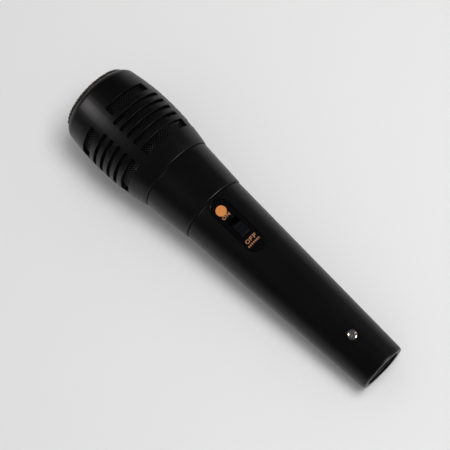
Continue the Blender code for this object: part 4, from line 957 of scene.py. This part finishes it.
def moulded_grain():
    """Fine texture of a moulding: uneven colour and roughness, and the height of its grain."""
    group, entry, leave = shader_group("moulded grain", [
        ("Colour", "NodeSocketColor", (0.01, 0.01, 0.01, 1)),
        ("Patch colour", "NodeSocketColor", (0.012, 0.012, 0.012, 1)),
        ("Roughness", "NodeSocketFloat", 0.45), ("Unevenness", "NodeSocketFloat", 0.06),
        ("Patch scale", "NodeSocketFloat", 60.0), ("Grain scale", "NodeSocketFloat", 2200.0),
    ], [("Colour", "NodeSocketColor"), ("Roughness", "NodeSocketFloat"), ("Height", "NodeSocketFloat")])
    nodes = group.nodes
    place = nodes.new("ShaderNodeTexCoord")
    patches = nodes.new("ShaderNodeTexNoise")
    patches.inputs["Detail"].default_value = 4
    grain = nodes.new("ShaderNodeTexNoise")
    grain.inputs["Detail"].default_value = 2
    mix = nodes.new("ShaderNodeMix")
    mix.data_type = "RGBA"
    centre = nodes.new("ShaderNodeMath")
    centre.operation = "SUBTRACT"
    centre.inputs[1].default_value = 0.5
    scaled = nodes.new("ShaderNodeMath")
    scaled.operation = "MULTIPLY_ADD"
    join(group, (place, "Object", patches, "Vector"), (place, "Object", grain, "Vector"),
         (entry, "Patch scale", patches, "Scale"), (entry, "Grain scale", grain, "Scale"),
         (patches, "Fac", mix, "Factor"), (entry, "Colour", mix, "A"), (entry, "Patch colour", mix, "B"),
         (patches, "Fac", centre, 0), (centre, 0, scaled, 0), (entry, "Unevenness", scaled, 1),
         (entry, "Roughness", scaled, 2), (mix, "Result", leave, "Colour"),
         (scaled, 0, leave, "Roughness"), (grain, "Fac", leave, "Height"))
    return group


def finish(name, colour, patch, roughness, uneven=0.06, metallic=0.0, grain=2200.0, depth=0.02, patches=60.0,
           specular=0.5, strength=0.3):
    """A procedural finish from the grain group; depth is the grain's in millimetres."""
    made = bpy.data.materials.new(name)
    made.use_nodes = True
    nodes = made.node_tree.nodes
    shader = nodes["Principled BSDF"]
    group = nodes.new("ShaderNodeGroup")
    group.node_tree = GRAIN
    for title, value in (("Colour", (*colour, 1)), ("Patch colour", (*patch, 1)), ("Roughness", roughness),
                         ("Unevenness", uneven), ("Patch scale", patches), ("Grain scale", grain)):
        group.inputs[title].default_value = value
    bump = nodes.new("ShaderNodeBump")
    bump.inputs["Strength"].default_value = strength
    bump.inputs["Distance"].default_value = depth * MM
    join(made.node_tree, (group, "Colour", shader, "Base Color"), (group, "Roughness", shader, "Roughness"),
         (group, "Height", bump, "Height"), (bump, "Normal", shader, "Normal"))
    shader.inputs["Metallic"].default_value = metallic
    shader.inputs["Specular IOR Level"].default_value = specular
    made.diffuse_color = (*colour, 1)
    return made


# Stage

def camera_axes():
    """Right, up and backward directions of the camera, and the one across the microphone's axis."""
    tail = -(LAY.to_3x3() @ Vector((0, 0, 1)))
    switch = LAY.to_3x3() @ Vector((1, 0, 0))
    turn, lean, slant = (math.radians(a) for a in (VIEW_TURN, VIEW_LEAN, VIEW_SLANT))
    facing = switch * math.cos(turn) - Vector((0, 1, 0)) * math.sin(turn)
    back = (facing * math.cos(lean) + tail * math.sin(lean)).normalized()
    along = (tail - back * tail.dot(back)).normalized()
    over = back.cross(along)
    right = along * math.cos(slant) + over * math.sin(slant)
    up = over * math.cos(slant) - along * math.sin(slant)
    return right, up, back, over


def make_camera():
    right, up, back, over = camera_axes()
    data = bpy.data.cameras.new("camera")
    data.sensor_width = 36
    data.lens = VIEW_LENS
    data.clip_start = 0.05
    made = bpy.data.objects.new("camera", data)
    bpy.context.scene.collection.objects.link(made)
    aim = LAY @ Vector((0, 0, VIEW_PLACE)) - over * VIEW_SHIFT
    turn = Matrix((right, up, back)).transposed().to_4x4()
    made.matrix_world = Matrix.Translation(aim + back * VIEW_DISTANCE) @ turn
    bpy.context.scene.camera = made


def softbox(name, angle, lean, distance, width, height, power, colour=(1, 1, 1), lights=True, shows=True):
    """Area light over the microphone, at an angle round it from the switch and leaning to the head.

    It can be one that only lights surfaces, or one that only shows as a reflection in them.
    """
    angle, lean = math.radians(angle), math.radians(lean)
    toward = Vector((math.cos(angle) * math.cos(lean), math.sin(angle) * math.cos(lean), math.sin(lean)))
    direction = (LAY.to_3x3() @ toward).normalized()
    data = bpy.data.lights.new(name, "AREA")
    data.shape = "RECTANGLE"
    data.size = width
    data.size_y = height
    data.energy = power
    data.color = colour
    made = bpy.data.objects.new(name, data)
    bpy.context.scene.collection.objects.link(made)
    made.location = Vector((0, 0, 0.02)) + direction * distance
    made.rotation_euler = direction.to_track_quat("Z", "Y").to_euler()
    made.visible_diffuse = lights
    made.visible_glossy = shows


def make_stage():
    bpy.ops.mesh.primitive_grid_add(x_subdivisions=4, y_subdivisions=4, size=6)
    floor = bpy.context.object
    floor.name = "table"
    made = bpy.data.materials.new("matt white paper")
    made.use_nodes = True
    shader = made.node_tree.nodes["Principled BSDF"]
    shader.inputs["Base Color"].default_value = (0.775, 0.771, 0.772, 1)
    shader.inputs["Roughness"].default_value = 0.7
    shader.inputs["Specular IOR Level"].default_value = 0.0
    floor.data.materials.append(made)
    world = bpy.data.worlds.new("studio")
    world.use_nodes = True
    world.node_tree.nodes["Background"].inputs["Color"].default_value = (1.0, 0.995, 1.0, 1)
    world.node_tree.nodes["Background"].inputs["Strength"].default_value = 0.42
    bpy.context.scene.world = world
    world.cycles_visibility.glossy = False
    softbox("key", 12, -10, 1.1, 0.44, 0.44, 8.4, shows=False)
    softbox("head highlight", -38, 43, 1.5, 0.45, 0.45, 10, (1.0, 0.95, 0.94), lights=False)
    softbox("seam highlight", 50, -58, 1.5, 0.35, 0.35, 17, lights=False)
    softbox("edge highlight", 60, -8, 1.5, 0.3, 0.9, 1.0, (0.93, 0.96, 1.0), lights=False)
    bpy.context.scene.view_settings.view_transform = "Standard"


# Assembly

def dress(made, look, body, slot, *nodes):
    """Gives a piece its finish and its body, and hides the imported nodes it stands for."""
    if not made.data.materials:
        made.data.materials.append(look)
    else:
        for i in range(len(made.data.materials)):
            made.data.materials[i] = look
    if nodes:
        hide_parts(*nodes)
    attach(made, body)


GRAIN = moulded_grain()
WIRE_TREE = wire_tree()

MOULDING = finish("satin black moulding", (0.0022, 0.0022, 0.0026), (0.0031, 0.0031, 0.0036), 0.37, 0.08,
                  specular=0.2)
GLOSS = finish("polished black", (0.0025, 0.0025, 0.003), (0.003, 0.003, 0.0035), 0.16, 0.04, depth=0.004)
KNOB_LOOK = finish("blue-black knob", (0.0026, 0.003, 0.0045), (0.0036, 0.0041, 0.006), 0.3, 0.06, specular=0.35)
WIRE_LOOK = finish("black wire", (0.0055, 0.005, 0.0048), (0.0095, 0.0088, 0.0083), 0.3, 0.1, grain=5000)
# Front wire: lighter and browner than the side wire's black, a painted highlight standing in for the light on the
# dome's crests; the mesh rim shares this colour.
PAINTED_SHEEN_WIRE = finish("brown wire, painted sheen", (0.022, 0.016, 0.012), (0.055, 0.037, 0.025), 0.3, 0.1, grain=5000)
FOAM_LOOK = finish("black foam", (0.0012, 0.0012, 0.0012), (0.003, 0.003, 0.003), 0.95, 0.03, grain=1400,
                   depth=0.5, strength=1.0, specular=0.1)
INK = finish("orange ink", (0.60, 0.215, 0.045), (0.52, 0.18, 0.035), 0.5, 0.1, patches=900, depth=0.01)
FAINT_INK = finish("thin orange ink", (0.40, 0.175, 0.075), (0.3, 0.13, 0.06), 0.5, 0.1, patches=900, depth=0.01)
NICKEL = finish("bright nickel", (0.78, 0.73, 0.67), (0.64, 0.6, 0.54), 0.22, 0.08, 0.92, depth=0.003, patches=400)
SOCKET = finish("socket moulding", (0.006, 0.006, 0.0065), (0.008, 0.008, 0.0085), 0.5, 0.08)
GREY = finish("dark grey moulding", (0.012, 0.012, 0.0135), (0.018, 0.018, 0.0195), 0.5, 0.1)
RUBBER = finish("soft rubber", (0.012, 0.012, 0.012), (0.02, 0.02, 0.02), 0.8, 0.1, depth=0.04)
FELT = finish("grey felt", (0.2, 0.2, 0.19), (0.3, 0.3, 0.29), 0.95, 0.03, grain=3000, depth=0.3, strength=0.8)
FILM = finish("polyester film", (0.72, 0.69, 0.56), (0.76, 0.73, 0.6), 0.25, 0.1, depth=0.01)
BOARD = finish("phenolic board", (0.28, 0.15, 0.06), (0.34, 0.2, 0.09), 0.6, 0.1, patches=300)
STEEL = finish("zinc-plated steel", (0.5, 0.5, 0.52), (0.6, 0.6, 0.6), 0.35, 0.15, 1.0, patches=150)
MAGNET = finish("sintered magnet", (0.07, 0.07, 0.075), (0.11, 0.11, 0.11), 0.55, 0.15, 0.3, depth=0.05)
COPPER = finish("enamelled copper", (0.62, 0.24, 0.1), (0.75, 0.32, 0.16), 0.3, 0.1, 1.0)
BRASS = finish("tinned brass", (0.72, 0.56, 0.3), (0.8, 0.68, 0.42), 0.28, 0.12, 1.0, patches=300)
RED = finish("red insulation", (0.45, 0.02, 0.02), (0.5, 0.03, 0.03), 0.4)
WHITE = finish("white insulation", (0.65, 0.65, 0.62), (0.72, 0.72, 0.7), 0.4)
GREEN = finish("green insulation", (0.03, 0.25, 0.06), (0.05, 0.3, 0.08), 0.4)

dress(make_handle(), MOULDING, "handle", "black_plastic", "handle")
dress(make_collar(), MOULDING, "handle", "black_plastic", "neck_collar")
dress(make_thread(), MOULDING, "handle", "black_plastic")
dress(make_cage(), MOULDING, "head", "black_plastic", "head_cage")
dress(make_side_mesh(WIRE_LOOK), WIRE_LOOK, "head", "wire", "side_mesh")
dress(make_front_mesh(PAINTED_SHEEN_WIRE), PAINTED_SHEEN_WIRE, "head", "wire", "front_mesh")
dress(make_mesh_rim(), PAINTED_SHEEN_WIRE, "head", "wire")
foam = make_foam()
dress(foam, FOAM_LOOK, "head_liner", "foam", "foam_liner")
dress(make_plate(), GLOSS, "handle", "gloss_plastic", "switch_plate")
dot, *lettering = make_prints()
dress(dot, INK, "handle", "gloss_plastic")
for printed in lettering:
    dress(printed, FAINT_INK, "handle", "gloss_plastic")
dress(make_knob(), KNOB_LOOK, "switch_actuator", "gloss_plastic", "switch_knob")
dress(make_screw(), NICKEL, "handle", "bright_steel", "tail_screw")
dress(make_insert(), SOCKET, "handle", "grey_plastic", "connector_insert")
for number in (1, 2, 3):
    dress(make_pin(number), NICKEL, "handle", "bright_steel", f"connector_pin_{number}")
grille, can, mount, lock = make_capsule()
dress(grille, GREY, "handle", "grey_plastic", "capsule_cap")
dress(can, GREY, "handle", "grey_plastic", "capsule_housing")
dress(mount, RUBBER, "handle", "rubber", "capsule_mount")
dress(lock, GREY, "handle", "grey_plastic", "lock_ring")

KEPT = {
    GREY: ["clamp_ring", "diaphragm_ring", "switch_slider"],
    FELT: ["damping_felt"],
    FILM: ["diaphragm"],
    BOARD: ["terminal_board", "switch_base"],
    STEEL: ["yoke", "pole_piece", "switch_frame", "weight_sleeve"],
    NICKEL: ["switch_screw_front", "switch_screw_rear"],
    MAGNET: ["magnet"],
    COPPER: ["voice_coil"],
    BRASS: ["capsule_tab_hot", "capsule_tab_return", "contact_bridge", "switch_terminal_1",
            "switch_terminal_2", "switch_terminal_3", "ground_lug"],
    RED: ["lead_capsule_to_switch", "lead_switch_to_pin"],
    WHITE: ["lead_return"],
    GREEN: ["lead_ground"],
}
for look, names in KEPT.items():
    for name in names:
        mesh = frame["nodes"][name].data
        mesh.materials.clear()
        mesh.materials.append(look)

make_stage()
make_camera()
